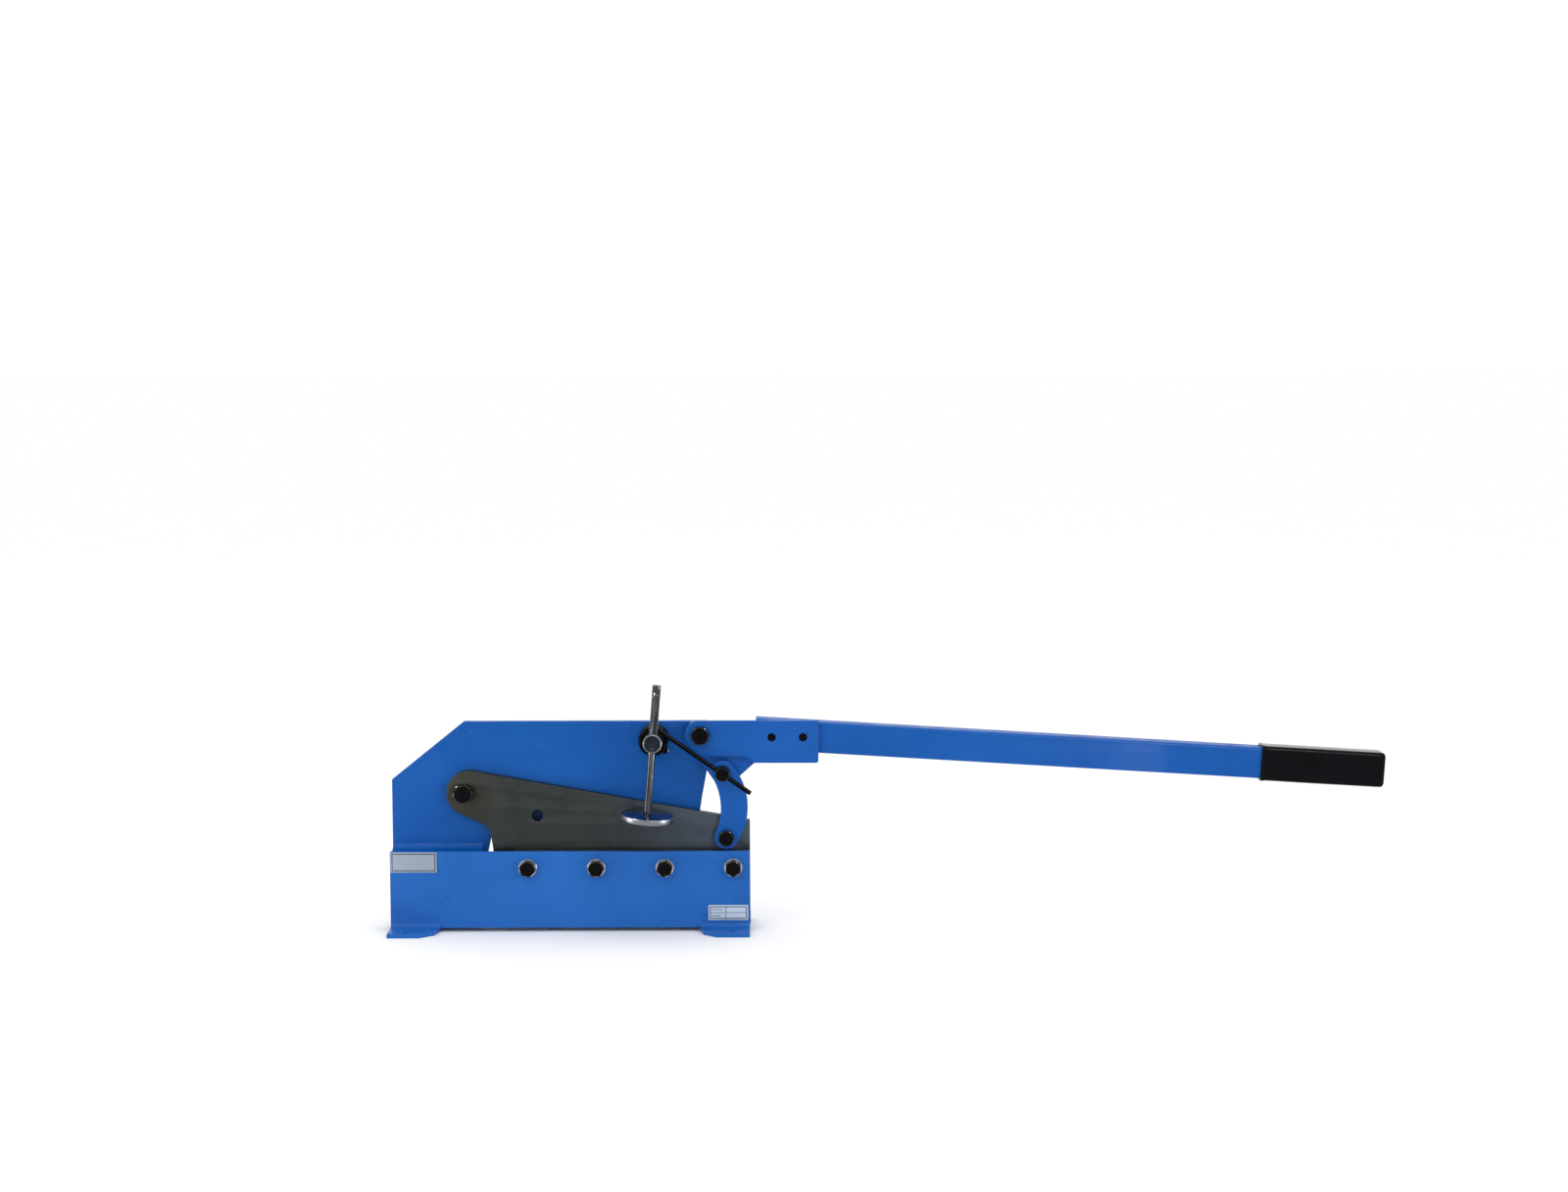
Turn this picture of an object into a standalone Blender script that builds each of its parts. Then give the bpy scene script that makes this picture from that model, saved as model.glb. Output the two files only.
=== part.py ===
"""Bench plate shear: a lever, a dropping link and a swinging upper blade in a
plate frame, with a spring on the lever and a screw hold-down.

Shop frame: X to the right along the blades, Y away from the operator, Z up.
X = 0 is the left end of the plates, Y = 0 is the plane in which the two
blades slide past each other, Z = 0 is the bench.
"""
import math

import bmesh
import bpy
from mathutils import Euler, Matrix, Vector

MM = 0.001

# ---------------------------------------------------------------- dimensions
LENGTH = 463.0            # length of the frame along the blades
ORIGIN_X = 641.41         # shop position of the model's origin, the middle of its
ORIGIN_Y = -4.8             # footprint

GAP = 0.15                # half of the play between the two blades
FRONT_Y0, FRONT_Y1 = -18.3, -12.3      # front plate, 6 mm
LOWER_Y0, LOWER_Y1 = -12.0, -GAP       # lower blade, 12 mm
UPPER_Y0, UPPER_Y1 = GAP, 12.15        # upper blade and lever plate, 12 mm
FRAME_Y0, FRAME_Y1 = 12.5, 24.5        # rear frame plate, 12 mm
ARM_FRONT_Y0, ARM_FRONT_Y1 = -8.2, -0.2
ARM_REAR_Y0, ARM_REAR_Y1 = 30.3, 38.3
LINK_Y0, LINK_Y1 = -10.4, -0.4         # link, 10 mm

TABLE_Z = 104.3           # cutting edge of the lower blade, top of front plate
SKIRT_Z = 5.0             # clearance under the plates
BEAM_Z = 95.0             # top of the frame's lower beam
FRAME_TOP = 268.7

BLADE_PIVOT = (94.0, 177.5)
LEVER_PIVOT = (399.6, 253.1)
LINK_TOP = (428.3, 205.4)
LINK_BOTTOM = (432.7, 120.4)
POST = (340.0, 247.8)

FOOT_BEND = 6.0           # inner radius of the bent feet
FOOT_REACH = 38.0
FOOT_JOIN = 22.0          # height at which a foot runs into its plate
FOOT_LEFT, FOOT_RIGHT = 63.5, 399.0
FOOT_HOLE_LEFT, FOOT_HOLE_RIGHT, FOOT_HOLE_OUT = 25.0, 440.0, 24.0

BOLT_Z = 83.0
BOLT_X0, BOLT_PITCH = 177.3, 88.1
LOWER_BLADE_X0 = 157.7
LOWER_BLADE_Z0 = 62.0

TUBE_START = (470.0, 253.3)
TUBE_ANGLE = math.radians(-3.5)
TUBE_H, TUBE_W, TUBE_WALL, TUBE_R = 40.0, 29.7, 2.5, 3.5
TUBE_Y = 15.15
TUBE_LEN = 793.0
GRIP_FROM, GRIP_LEN = 653.0, 160.0     # along the tube
GRIP_H, GRIP_W = 45.0, 35.0
PIN_XZ = ((491.4, 250.2), (531.6, 250.2))

WIRE_R = 3.0              # spring wire
COIL_R = 16.0             # mean radius of the spring
LEG_Y = -23.5             # plane of the spring's long leg
TAIL = (354.5, 230.3)     # hole that holds the spring's short leg

ROD_Y = -38.0
ROD_TILT = math.radians(4.6)
ROD_R, THREAD_R = 4.75, 5.8             # plain lower end, threaded upper end
THREAD_FROM = -14.0       # where the thread starts, from the post axis
PAD_R, PAD_T = 34.1, 7.5
PAD_TOP = 92.1            # pad's upper face below the post axis, along the rod
PAD_SEAT = 3.5            # depth of the pad's socket
PAD_LEAN = (math.radians(3.2), ROD_TILT, 0.0)
ROD_TOP = 74.4            # rod's upper end above the post axis

# ---------------------------------------------------------------- scene set-up
for ob in list(bpy.data.objects):
    bpy.data.objects.remove(ob, do_unlink=True)
for col in list(bpy.data.collections):
    bpy.data.collections.remove(col)

parts = bpy.data.collections.new("bench_plate_shear")
cutters = bpy.data.collections.new("cutters")
bpy.context.scene.collection.children.link(parts)
bpy.context.scene.collection.children.link(cutters)

root = bpy.data.objects.new("shop_frame", None)
root.location = (-ORIGIN_X * MM, -ORIGIN_Y * MM, 0.0)
parts.objects.link(root)


def material(name, rgb, rough, metal):
    mat = bpy.data.materials.new(name)
    mat.use_nodes = True
    shader = mat.node_tree.nodes["Principled BSDF"]
    shader.inputs["Base Color"].default_value = (*rgb, 1.0)
    shader.inputs["Roughness"].default_value = rough
    shader.inputs["Metallic"].default_value = metal
    return mat


BLUE = ("blue_paint", (0.03, 0.13, 0.47), 0.35, 0.0)
STEEL = ("ground_steel", (0.05, 0.055, 0.055), 0.5, 0.8)
BLACK = ("black_oxide", (0.012, 0.012, 0.014), 0.4, 0.7)
ZINC = ("zinc_plate", (0.55, 0.56, 0.58), 0.3, 1.0)
BRONZE = ("bronze", (0.45, 0.27, 0.11), 0.4, 1.0)
RUBBER = ("black_rubber", (0.01, 0.01, 0.012), 0.45, 0.0)
LABEL = ("plain_label", (0.62, 0.64, 0.70), 0.4, 0.2)


# ---------------------------------------------------------------- helpers
def link_part(ob, look, parent=None):
    """File an object with the parts, give it its own material and a parent."""
    for col in list(ob.users_collection):
        col.objects.unlink(ob)
    parts.objects.link(ob)
    ob.parent = parent if parent is not None else root
    ob.data.materials.clear()
    tag, rgb, rough, metal = look
    ob.data.materials.append(material(f"{ob.name}_{tag}", rgb, rough, metal))
    return ob


cuts = []


def cut(ob, tool):
    """Cut with a Boolean modifier that stays live, and file the cutter."""
    for col in list(tool.users_collection):
        col.objects.unlink(tool)
    cutters.objects.link(tool)
    tool.name = f"{ob.name}_cutter_{len(cuts)}"
    tool.hide_render = True
    tool.display_type = 'WIRE'
    mod = ob.modifiers.new("cut", 'BOOLEAN')
    mod.operation = 'DIFFERENCE'
    mod.solver = 'EXACT'
    mod.object = tool
    cuts.append((ob, tool))
    return ob


def curve_to_mesh(ob, weld=1e-5):
    """Turn a curve object into a closed mesh object with the same name."""
    bpy.context.view_layer.update()
    deps = bpy.context.evaluated_depsgraph_get()
    mesh = bpy.data.meshes.new_from_object(ob.evaluated_get(deps))
    bm = bmesh.new()
    bm.from_mesh(mesh)
    bmesh.ops.remove_doubles(bm, verts=bm.verts, dist=weld)
    bmesh.ops.recalc_face_normals(bm, faces=bm.faces)
    bm.to_mesh(mesh)
    bm.free()
    name, place, col = ob.name, ob.matrix_world.copy(), ob.users_collection[0]
    curve = ob.data
    bpy.data.objects.remove(ob, do_unlink=True)
    bpy.data.curves.remove(curve)
    new = bpy.data.objects.new(name, mesh)
    col.objects.link(new)
    new.matrix_world = place
    return new


def ring(centre, radius, count=24, start=0.0, sweep=2 * math.pi):
    """Points on a circle, or on an arc when sweep is shorter."""
    full = abs(abs(sweep) - 2 * math.pi) < 1e-9
    steps = count if full else count - 1
    return [(centre[0] + radius * math.cos(start + sweep * i / steps),
             centre[1] + radius * math.sin(start + sweep * i / steps))
            for i in range(count)]


def plate(name, outline, holes, y0, y1, origin=(0.0, 0.0)):
    """A flat plate in the XZ plane from y0 to y1; origin is a shop X, Z point."""
    data = bpy.data.curves.new(name, 'CURVE')
    data.dimensions = '2D'
    data.fill_mode = 'BOTH'
    data.extrude = 0.5 * (y1 - y0) * MM
    for loop in [outline] + list(holes):
        spline = data.splines.new('POLY')
        spline.points.add(len(loop) - 1)
        for point, (x, z) in zip(spline.points, loop):
            point.co = ((x - origin[0]) * MM, (z - origin[1]) * MM, 0.0, 1.0)
        spline.use_cyclic_u = True
    ob = bpy.data.objects.new(name, data)
    parts.objects.link(ob)
    ob.rotation_euler = (math.pi / 2, 0.0, 0.0)
    ob.location = (origin[0] * MM, 0.5 * (y0 + y1) * MM, origin[1] * MM)
    return curve_to_mesh(ob)


def rod_y(name, centre, radius, y0, y1, sides=24, spin=0.0):
    """A cylinder, or a hex prism with six sides, along Y."""
    bpy.ops.mesh.primitive_cylinder_add(vertices=sides, radius=radius * MM,
                                        depth=(y1 - y0) * MM)
    ob = bpy.context.active_object
    ob.name = name
    ob.data.name = name
    ob.location = (centre[0] * MM, 0.5 * (y0 + y1) * MM, centre[1] * MM)
    ob.rotation_euler = (math.pi / 2, spin, 0.0)
    return ob


def boolean(ob, other, operation, solver='EXACT'):
    """Apply one Boolean at once, and drop the other object."""
    bpy.context.view_layer.update()
    mod = ob.modifiers.new("cut", 'BOOLEAN')
    mod.operation = operation
    mod.solver = solver
    mod.object = other
    bpy.context.view_layer.update()
    deps = bpy.context.evaluated_depsgraph_get()
    mesh = bpy.data.meshes.new_from_object(ob.evaluated_get(deps))
    ob.modifiers.clear()
    old = ob.data
    ob.data = mesh
    bpy.data.meshes.remove(old)
    bpy.data.objects.remove(other, do_unlink=True)
    return ob


def smooth(ob, angle=35.0):
    ob.data.shade_smooth()
    ob.data.set_sharp_from_angle(angle=math.radians(angle))
    return ob


def hex_r(across_flats):
    return across_flats / math.sqrt(3.0)


def bolt(name, centre, flats, y_head0, y_head1, shank_r, y_end, spin=0.0):
    """A hexagon-head bolt whose head faces the operator."""
    shank = rod_y(name, centre, shank_r, y_head1 - 1.0, y_end, 24)
    head = rod_y(name + "_head", centre, hex_r(flats), y_head0, y_head1, 6, spin)
    return smooth(boolean(shank, head, 'UNION'))


def collar(name, centre, r_out, r_in, y0, y1, sides=24, spin=0.0):
    """A washer, bush or nut: a plate ring, or a hexagon with a round hole."""
    outer = ring(centre, r_out, sides, spin)
    inner = ring(centre, r_in, 24)
    return smooth(plate(name, outer, [inner], y0, y1))


def tube_path(name, points, radius, resolution=2):
    """A round wire along a list of shop points."""
    data = bpy.data.curves.new(name, 'CURVE')
    data.dimensions = '3D'
    data.bevel_depth = radius * MM
    data.bevel_resolution = resolution
    data.use_fill_caps = True
    spline = data.splines.new('POLY')
    spline.points.add(len(points) - 1)
    for point, co in zip(spline.points, points):
        point.co = (co[0] * MM, co[1] * MM, co[2] * MM, 1.0)
    ob = bpy.data.objects.new(name, data)
    parts.objects.link(ob)
    return smooth(curve_to_mesh(ob), 50.0)


def pivot_empty(name, pivot):
    empty = bpy.data.objects.new(name, None)
    empty.location = (pivot[0] * MM, 0.0, pivot[1] * MM)
    empty.parent = root
    parts.objects.link(empty)
    return empty


def hang(ob, empty, look):
    """Parent a piece to the empty on its joint axis."""
    bpy.context.view_layer.update()
    place = ob.matrix_world.copy()
    link_part(ob, look, empty)
    ob.matrix_local = Matrix.Translation(-Vector(empty.location)) @ place
    return ob


def profile_along_x(name, loop_yz, x0, x1):
    """Extrude a closed Y, Z profile along X."""
    data = bpy.data.curves.new(name, 'CURVE')
    data.dimensions = '2D'
    data.fill_mode = 'BOTH'
    data.extrude = 0.5 * (x1 - x0) * MM
    spline = data.splines.new('POLY')
    spline.points.add(len(loop_yz) - 1)
    for point, (y, z) in zip(spline.points, loop_yz):
        point.co = (y * MM, z * MM, 0.0, 1.0)
    spline.use_cyclic_u = True
    ob = bpy.data.objects.new(name, data)
    parts.objects.link(ob)
    # local X, Y, Z of the flat curve become shop Y, Z, X
    ob.matrix_world = Matrix(((0, 0, 1, 0.5 * (x0 + x1) * MM),
                              (1, 0, 0, 0), (0, 1, 0, 0), (0, 0, 0, 1)))
    return curve_to_mesh(ob)


def foot(face_y, out, thick, left):
    """A bent tab: a short upright, a bend and a toe with one bolt hole.

    face_y is the plate face that the toe leaves, out is -1 for the front
    and +1 for the rear, left is True at the left end of the frame.
    """
    # a hair thinner than the plate, so that no faces coincide in the union
    face_y -= out * 0.05
    thick -= 0.1
    back = face_y - out * thick
    cy, cz = face_y + out * FOOT_BEND, FOOT_BEND + thick
    loop = [(back, FOOT_JOIN + 2.0)]
    for i in range(5):
        a = 0.5 * math.pi * i / 4
        loop.append((cy - out * (FOOT_BEND + thick) * math.cos(a),
                     cz - (FOOT_BEND + thick) * math.sin(a)))
    tip = face_y + out * FOOT_REACH
    loop += [(tip, 0.0), (tip, thick)]
    for i in range(4, -1, -1):
        a = 0.5 * math.pi * i / 4
        loop.append((cy - out * FOOT_BEND * math.cos(a), cz - FOOT_BEND * math.sin(a)))
    loop.append((face_y, FOOT_JOIN + 2.0))
    x0, x1 = (0.05, FOOT_LEFT) if left else (FOOT_RIGHT, LENGTH - 0.05)
    ob = profile_along_x("foot", loop, x0, x1)
    # the toe's inner corner is cut off in two steps
    inner, step = (FOOT_LEFT, -1.0) if left else (FOOT_RIGHT, 1.0)
    wedge = [(inner + step * -3.0, face_y + out * 2.0),
             (inner + step * 0.6, face_y + out * 2.0),
             (inner + step * 5.0, face_y + out * 22.0),
             (inner + step * 26.0, face_y + out * (FOOT_REACH + 3.0)),
             (inner + step * -3.0, face_y + out * (FOOT_REACH + 3.0))]
    data = bpy.data.curves.new("toe_corner", 'CURVE')
    data.dimensions = '2D'
    data.fill_mode = 'BOTH'
    data.extrude = 0.03
    spline = data.splines.new('POLY')
    spline.points.add(len(wedge) - 1)
    for point, (x, y) in zip(spline.points, wedge):
        point.co = (x * MM, y * MM, 0.0, 1.0)
    spline.use_cyclic_u = True
    corner = bpy.data.objects.new("toe_corner", data)
    cutters.objects.link(corner)
    boolean(ob, curve_to_mesh(corner), 'DIFFERENCE')
    bpy.ops.mesh.primitive_cylinder_add(
        vertices=16, radius=5.5 * MM, depth=0.06,
        location=((FOOT_HOLE_LEFT if left else FOOT_HOLE_RIGHT) * MM,
                  (face_y + out * FOOT_HOLE_OUT) * MM, 0.0))
    boolean(ob, bpy.context.active_object, 'DIFFERENCE')
    return ob


# ---------------------------------------------------------------- frame plates
# The rear plate is a C: a column on the left, a jaw above the throat that
# carries the pivots, and a beam below it.
THROAT_TOP_LEFT = (129.5, 124.0)
THROAT_TOP_RIGHT = (398.0, 150.0)
frame_outline = [
    (0.0, FOOT_JOIN), (FOOT_LEFT - 2.0, FOOT_JOIN), (FOOT_LEFT - 2.0, SKIRT_Z),
    (FOOT_RIGHT + 2.0, SKIRT_Z), (FOOT_RIGHT + 2.0, FOOT_JOIN), (LENGTH, FOOT_JOIN),
    (LENGTH, BEAM_Z), (122.6, BEAM_Z),
    (THROAT_TOP_LEFT[0] - 2.4, THROAT_TOP_LEFT[1] - 8.0),
    (THROAT_TOP_LEFT[0] + 0.6, THROAT_TOP_LEFT[1] - 2.0),
    (THROAT_TOP_LEFT[0] + 6.0, THROAT_TOP_LEFT[1] + 0.6),
    THROAT_TOP_RIGHT, (401.5, 172.0), (416.8, 254.0), (404.0, FRAME_TOP),
    (93.7, FRAME_TOP), (0.0, 193.6),
]
frame_plate = plate("frame_plate", frame_outline, [
    ring(BLADE_PIVOT, 8.35), ring(LEVER_PIVOT, 8.35), ring(POST, 8.35),
    ring(TAIL, 3.6, 12),
], FRAME_Y0, FRAME_Y1)
for at_left in (True, False):
    boolean(frame_plate, foot(FRAME_Y1, 1.0, FRAME_Y1 - FRAME_Y0, at_left), 'UNION',
            'MANIFOLD')
link_part(frame_plate, BLUE)

# The front plate is the table edge; its lower corners stop at the feet.
front_outline = [
    (0.0, FOOT_JOIN), (FOOT_LEFT - 2.0, FOOT_JOIN), (FOOT_LEFT - 2.0, SKIRT_Z),
    (FOOT_RIGHT + 2.0, SKIRT_Z), (FOOT_RIGHT + 2.0, FOOT_JOIN), (LENGTH, FOOT_JOIN),
    (LENGTH, TABLE_Z), (0.0, TABLE_Z),
]
BOLT_X = [BOLT_X0 + BOLT_PITCH * i for i in range(4)]
front_plate = plate("front_plate", front_outline,
                    [ring((x, BOLT_Z), 6.35, 20) for x in BOLT_X],
                    FRONT_Y0, FRONT_Y1)
for at_left in (True, False):
    boolean(front_plate, foot(FRONT_Y0, -1.0, FRONT_Y1 - FRONT_Y0, at_left), 'UNION',
            'MANIFOLD')
link_part(front_plate, BLUE)

# Blocks that hold the two plates apart, welded between them.
spacer_left = plate("spacer_left",
                    [(0.0, 15.0), (118.0, 15.0), (118.0, 103.0), (0.0, 103.0)],
                    [], FRONT_Y1 + 0.3, FRAME_Y0 - 0.3)
link_part(spacer_left, BLUE)
spacer_right = plate("spacer_right",
                     [(425.0, 15.0), (LENGTH, 15.0), (LENGTH, 58.0), (425.0, 58.0)],
                     [], FRONT_Y1 + 0.3, FRAME_Y0 - 0.3)
link_part(spacer_right, BLUE)


# Fillet weld in the corner between the ledge and the rear plate.
WELD = 8.0
weld_top = 103.3
weld_loop = [(FRAME_Y0 - 0.3, weld_top), (FRAME_Y0 - 0.3, weld_top + WELD)]
weld_loop += [(y, z) for y, z in ring((FRAME_Y0 - 0.3 - WELD, weld_top + WELD), WELD,
                                      5, -0.12, -math.pi / 2 + 0.24)]
weld_loop += [(FRAME_Y0 - 0.3 - WELD, weld_top)]
spacer_weld = profile_along_x("spacer_weld", weld_loop, 0.5, 117.0)
link_part(smooth(spacer_weld, 40.0), BLUE)


# ---------------------------------------------------------------- lower blade
lower_blade = plate("lower_blade",
                    [(LOWER_BLADE_X0, LOWER_BLADE_Z0), (LENGTH, LOWER_BLADE_Z0),
                     (LENGTH, TABLE_Z), (LOWER_BLADE_X0, TABLE_Z)],
                    [ring((x, BOLT_Z), 6.35, 20) for x in BOLT_X],
                    LOWER_Y0, LOWER_Y1)
link_part(lower_blade, STEEL)


washer_front = FRONT_Y0 - 0.3
for i, x in enumerate(BOLT_X):
    link_part(bolt(f"lower_blade_bolt_{i + 1}", (x, BOLT_Z), 19.0, washer_front - 9.8,
                   washer_front - 2.3, 6.0, LOWER_Y1 - 1.0, 0.26 * (i - 1)), BLACK)
    link_part(collar(f"lower_blade_washer_{i + 1}", (x, BOLT_Z), 11.7, 6.4,
                     washer_front - 2.0, washer_front), ZINC)

# Blank plates on the front.
name_plate = plate("name_plate", [(0.8, 77.7), (60.5, 77.7), (60.5, 104.1), (0.8, 104.1)],
                   [], FRONT_Y0 - 0.9, FRONT_Y0 - 0.3)
link_part(name_plate, LABEL)
data_plate = plate("data_plate", [(409.5, 14.6), (460.5, 14.6), (460.5, 34.4), (409.5, 34.4)],
                   [], FRONT_Y0 - 0.9, FRONT_Y0 - 0.3)
link_part(data_plate, LABEL)

# ---------------------------------------------------------------- upper blade
blade_axis = pivot_empty("blade_axis", BLADE_PIVOT)
HEAD = (100.8, 177.4)     # centre of the blade's round head
HEAD_R = 29.0
upper_outline = [(463.0, 141.4), (463.0, 98.0), (131.8, 100.0), (130.8, 108.0),
                 (129.0, 120.0), (127.2, 127.5), (123.6, 133.6), (116.6, 138.4)]
upper_outline += ring(HEAD, HEAD_R, 13, math.radians(-112.0), math.radians(-168.0))
upper_blade = plate("upper_blade", upper_outline, [
    ring(BLADE_PIVOT, 10.8), ring((189.0, 148.0), 7.5, 20),
    ring(LINK_BOTTOM, 10.5),
], UPPER_Y0, UPPER_Y1, BLADE_PIVOT)
hang(upper_blade, blade_axis, STEEL)
hang(collar("blade_pivot_bush", BLADE_PIVOT, 10.4, 8.35, UPPER_Y0 + 0.1, UPPER_Y1 - 0.1),
     blade_axis, BRONZE)
link_part(bolt("blade_pivot_bolt", BLADE_PIVOT, 23.0, -10.2, -0.2, 8.0, 40.0, 0.18), BLACK)
link_part(collar("blade_pivot_washer", BLADE_PIVOT, 15.0, 8.35, 24.8, 27.3), ZINC)
link_part(collar("blade_pivot_nut", BLADE_PIVOT, hex_r(24.0), 8.3, 27.6, 38.6, 6, 0.3), BLACK)

# ---------------------------------------------------------------- lever
lever_axis = pivot_empty("lever_axis", LEVER_PIVOT)
HUB_R = 19.5
ARM_TOP, PLATE_TOP, REAR_TOP = 271.6, 270.0, 265.0


def hub_start(top):
    """Angle at which the round hub meets a straight upper edge."""
    return math.pi - math.asin((top - LEVER_PIVOT[1]) / HUB_R)


def arm_outline(top):
    start = hub_start(top)
    loop = ring(LEVER_PIVOT, HUB_R, 12, start, math.radians(235.0) - start)
    loop += [(406.0, 225.4), (457.0, 225.4), (469.8, 217.0), (546.6, 216.8)]
    loop += ring((547.6, 220.8), 4.0, 4, math.radians(-70.0), math.radians(70.0))
    loop += [(551.6, top)]
    return loop


tube_dir = (math.cos(TUBE_ANGLE), math.sin(TUBE_ANGLE))
PIN_R = 5.0
arm_holes = [ring(LEVER_PIVOT, 8.35)] + [ring(p, PIN_R + 0.35, 16) for p in PIN_XZ]
hang(plate("lever_arm_front", arm_outline(ARM_TOP), arm_holes, ARM_FRONT_Y0, ARM_FRONT_Y1,
           LEVER_PIVOT), lever_axis, BLUE)
hang(plate("lever_arm_rear", arm_outline(REAR_TOP), arm_holes, ARM_REAR_Y0, ARM_REAR_Y1,
           LEVER_PIVOT), lever_axis, BLUE)

# The lever plate lies between the arms; its lobe carries the link. Its left
# edge is the tangent common to the hub and the lobe.
LOBE_R = 16.4
dx, dz = LINK_TOP[0] - LEVER_PIVOT[0], LINK_TOP[1] - LEVER_PIVOT[1]
span = math.hypot(dx, dz)
normal = math.atan2(dz, dx) - math.acos((HUB_R - LOBE_R) / span)
hub_from = hub_start(PLATE_TOP)
lobe_loop = ring(LEVER_PIVOT, HUB_R, 11, hub_from, normal - hub_from + 2 * math.pi)
lobe_loop += ring(LINK_TOP, LOBE_R, 9, normal, math.radians(-72.0) - normal)
lobe_loop += [(446.0, 195.2), (470.3, 216.8), (478.0, 220.0), (490.0, 225.0), (490.0, 229.0),
              (466.0, 230.5), (466.0, PLATE_TOP)]
hang(plate("lever_plate", lobe_loop,
           [ring(LEVER_PIVOT, 10.8), ring(LINK_TOP, 6.35, 20)],
           UPPER_Y0, UPPER_Y1, LEVER_PIVOT), lever_axis, BLUE)
hang(collar("lever_pivot_bush", LEVER_PIVOT, 10.4, 8.35, UPPER_Y0 + 0.1, UPPER_Y1 - 0.1),
     lever_axis, BRONZE)
hang(collar("lever_spacer_ring", LEVER_PIVOT, 14.0, 8.35, 24.9, 30.0), lever_axis, ZINC)
link_part(bolt("lever_pivot_bolt", LEVER_PIVOT, 22.0, -18.0, -8.5, 8.0, 50.0, 0.1), BLACK)
link_part(collar("lever_pivot_nut", LEVER_PIVOT, hex_r(24.0), 8.3, 38.7, 48.7, 6, 0.1), BLACK)


def rounded_box(width, height, radius, steps=3):
    """Outline of a rectangle with round corners, centred on the origin."""
    loop = []
    for sx, sy, start in ((1, 1, 0.0), (-1, 1, 90.0), (-1, -1, 180.0), (1, -1, 270.0)):
        centre = (sx * (0.5 * width - radius), sy * (0.5 * height - radius))
        loop += ring(centre, radius, steps + 1, math.radians(start), math.pi / 2)
    return loop


def along_tube(name, outline, holes, s0, s1):
    """Extrude a Y, Z section along the tube's axis from s0 to s1."""
    data = bpy.data.curves.new(name, 'CURVE')
    data.dimensions = '2D'
    data.fill_mode = 'BOTH'
    data.extrude = 0.5 * (s1 - s0) * MM
    for loop in [outline] + list(holes):
        spline = data.splines.new('POLY')
        spline.points.add(len(loop) - 1)
        for point, (u, v) in zip(spline.points, loop):
            point.co = (u * MM, v * MM, 0.0, 1.0)
        spline.use_cyclic_u = True
    ob = bpy.data.objects.new(name, data)
    parts.objects.link(ob)
    s = 0.5 * (s0 + s1)
    c, n = tube_dir
    ob.matrix_world = Matrix(((0, -n, c, (TUBE_START[0] + s * c) * MM),
                              (1, 0, 0, TUBE_Y * MM),
                              (0, c, n, (TUBE_START[1] + s * n) * MM),
                              (0, 0, 0, 1)))
    return curve_to_mesh(ob)


tube = along_tube("lever_tube", rounded_box(TUBE_W, TUBE_H, TUBE_R),
                  [rounded_box(TUBE_W - 2 * TUBE_WALL, TUBE_H - 2 * TUBE_WALL,
                               TUBE_R - TUBE_WALL + 0.5)], 0.0, TUBE_LEN)
for pin in PIN_XZ:
    cut(tube, rod_y("pin_hole", pin, PIN_R + 0.35, -5.0, 40.0, 16))
hang(smooth(tube, 30.0), lever_axis, BLUE)

for i, pin in enumerate(PIN_XZ):
    hang(smooth(plate(f"lever_pin_{i + 1}", ring(pin, PIN_R, 16), [ring(pin, 2.6, 12)],
                      ARM_FRONT_Y0 + 0.6, ARM_REAR_Y1 - 0.6)), lever_axis, BLACK)

# Hand grip: a moulded sleeve, closed at its outer end.
grip = along_tube("grip", rounded_box(GRIP_W, GRIP_H, 5.0), [],
                  GRIP_FROM, GRIP_FROM + GRIP_LEN)
bev = grip.modifiers.new("edge", 'BEVEL')
bev.width = 1.5 * MM
bev.segments = 1
bev.limit_method = 'ANGLE'
bev.angle_limit = math.radians(50.0)
cavity = along_tube("grip_cavity", rounded_box(TUBE_W + 0.6, TUBE_H + 0.6, TUBE_R + 0.3),
                    [], GRIP_FROM - 5.0, TUBE_LEN + 0.5)
cut(grip, cavity)
hang(smooth(grip, 30.0), lever_axis, RUBBER)

# ---------------------------------------------------------------- link
link_axis = pivot_empty("link_axis", LINK_TOP)


def link_outline():
    """A curved strap of nearly even width with round ends."""
    sag = 12.5
    cx, cz = LINK_BOTTOM[0] - LINK_TOP[0], LINK_BOTTOM[1] - LINK_TOP[1]
    chord = math.hypot(cx, cz)
    radius = (0.25 * chord * chord + sag * sag) / (2 * sag)
    ux, uz = cx / chord, cz / chord
    px, pz = -uz, ux                       # towards the bulge
    mid = (0.5 * (LINK_TOP[0] + LINK_BOTTOM[0]), 0.5 * (LINK_TOP[1] + LINK_BOTTOM[1]))
    centre = (mid[0] - px * (radius - sag), mid[1] - pz * (radius - sag))
    half = math.asin(0.5 * chord / radius)
    base = math.atan2(pz, px)
    outer, inner = [], []
    for i in range(13):
        t = i / 12
        a = base + half - 2 * half * t
        w = 15.0 + 2.4 * math.sin(math.pi * t)
        outer.append((centre[0] + (radius + w) * math.cos(a),
                      centre[1] + (radius + w) * math.sin(a)))
        inner.append((centre[0] + (radius - w) * math.cos(a),
                      centre[1] + (radius - w) * math.sin(a)))
    low = ring(LINK_BOTTOM, 15.0, 11, base - half, -math.pi)
    high = ring(LINK_TOP, 15.0, 11, base + half + math.pi, -math.pi)
    return outer + low[1:-1] + inner[::-1] + high[1:-1]


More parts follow.
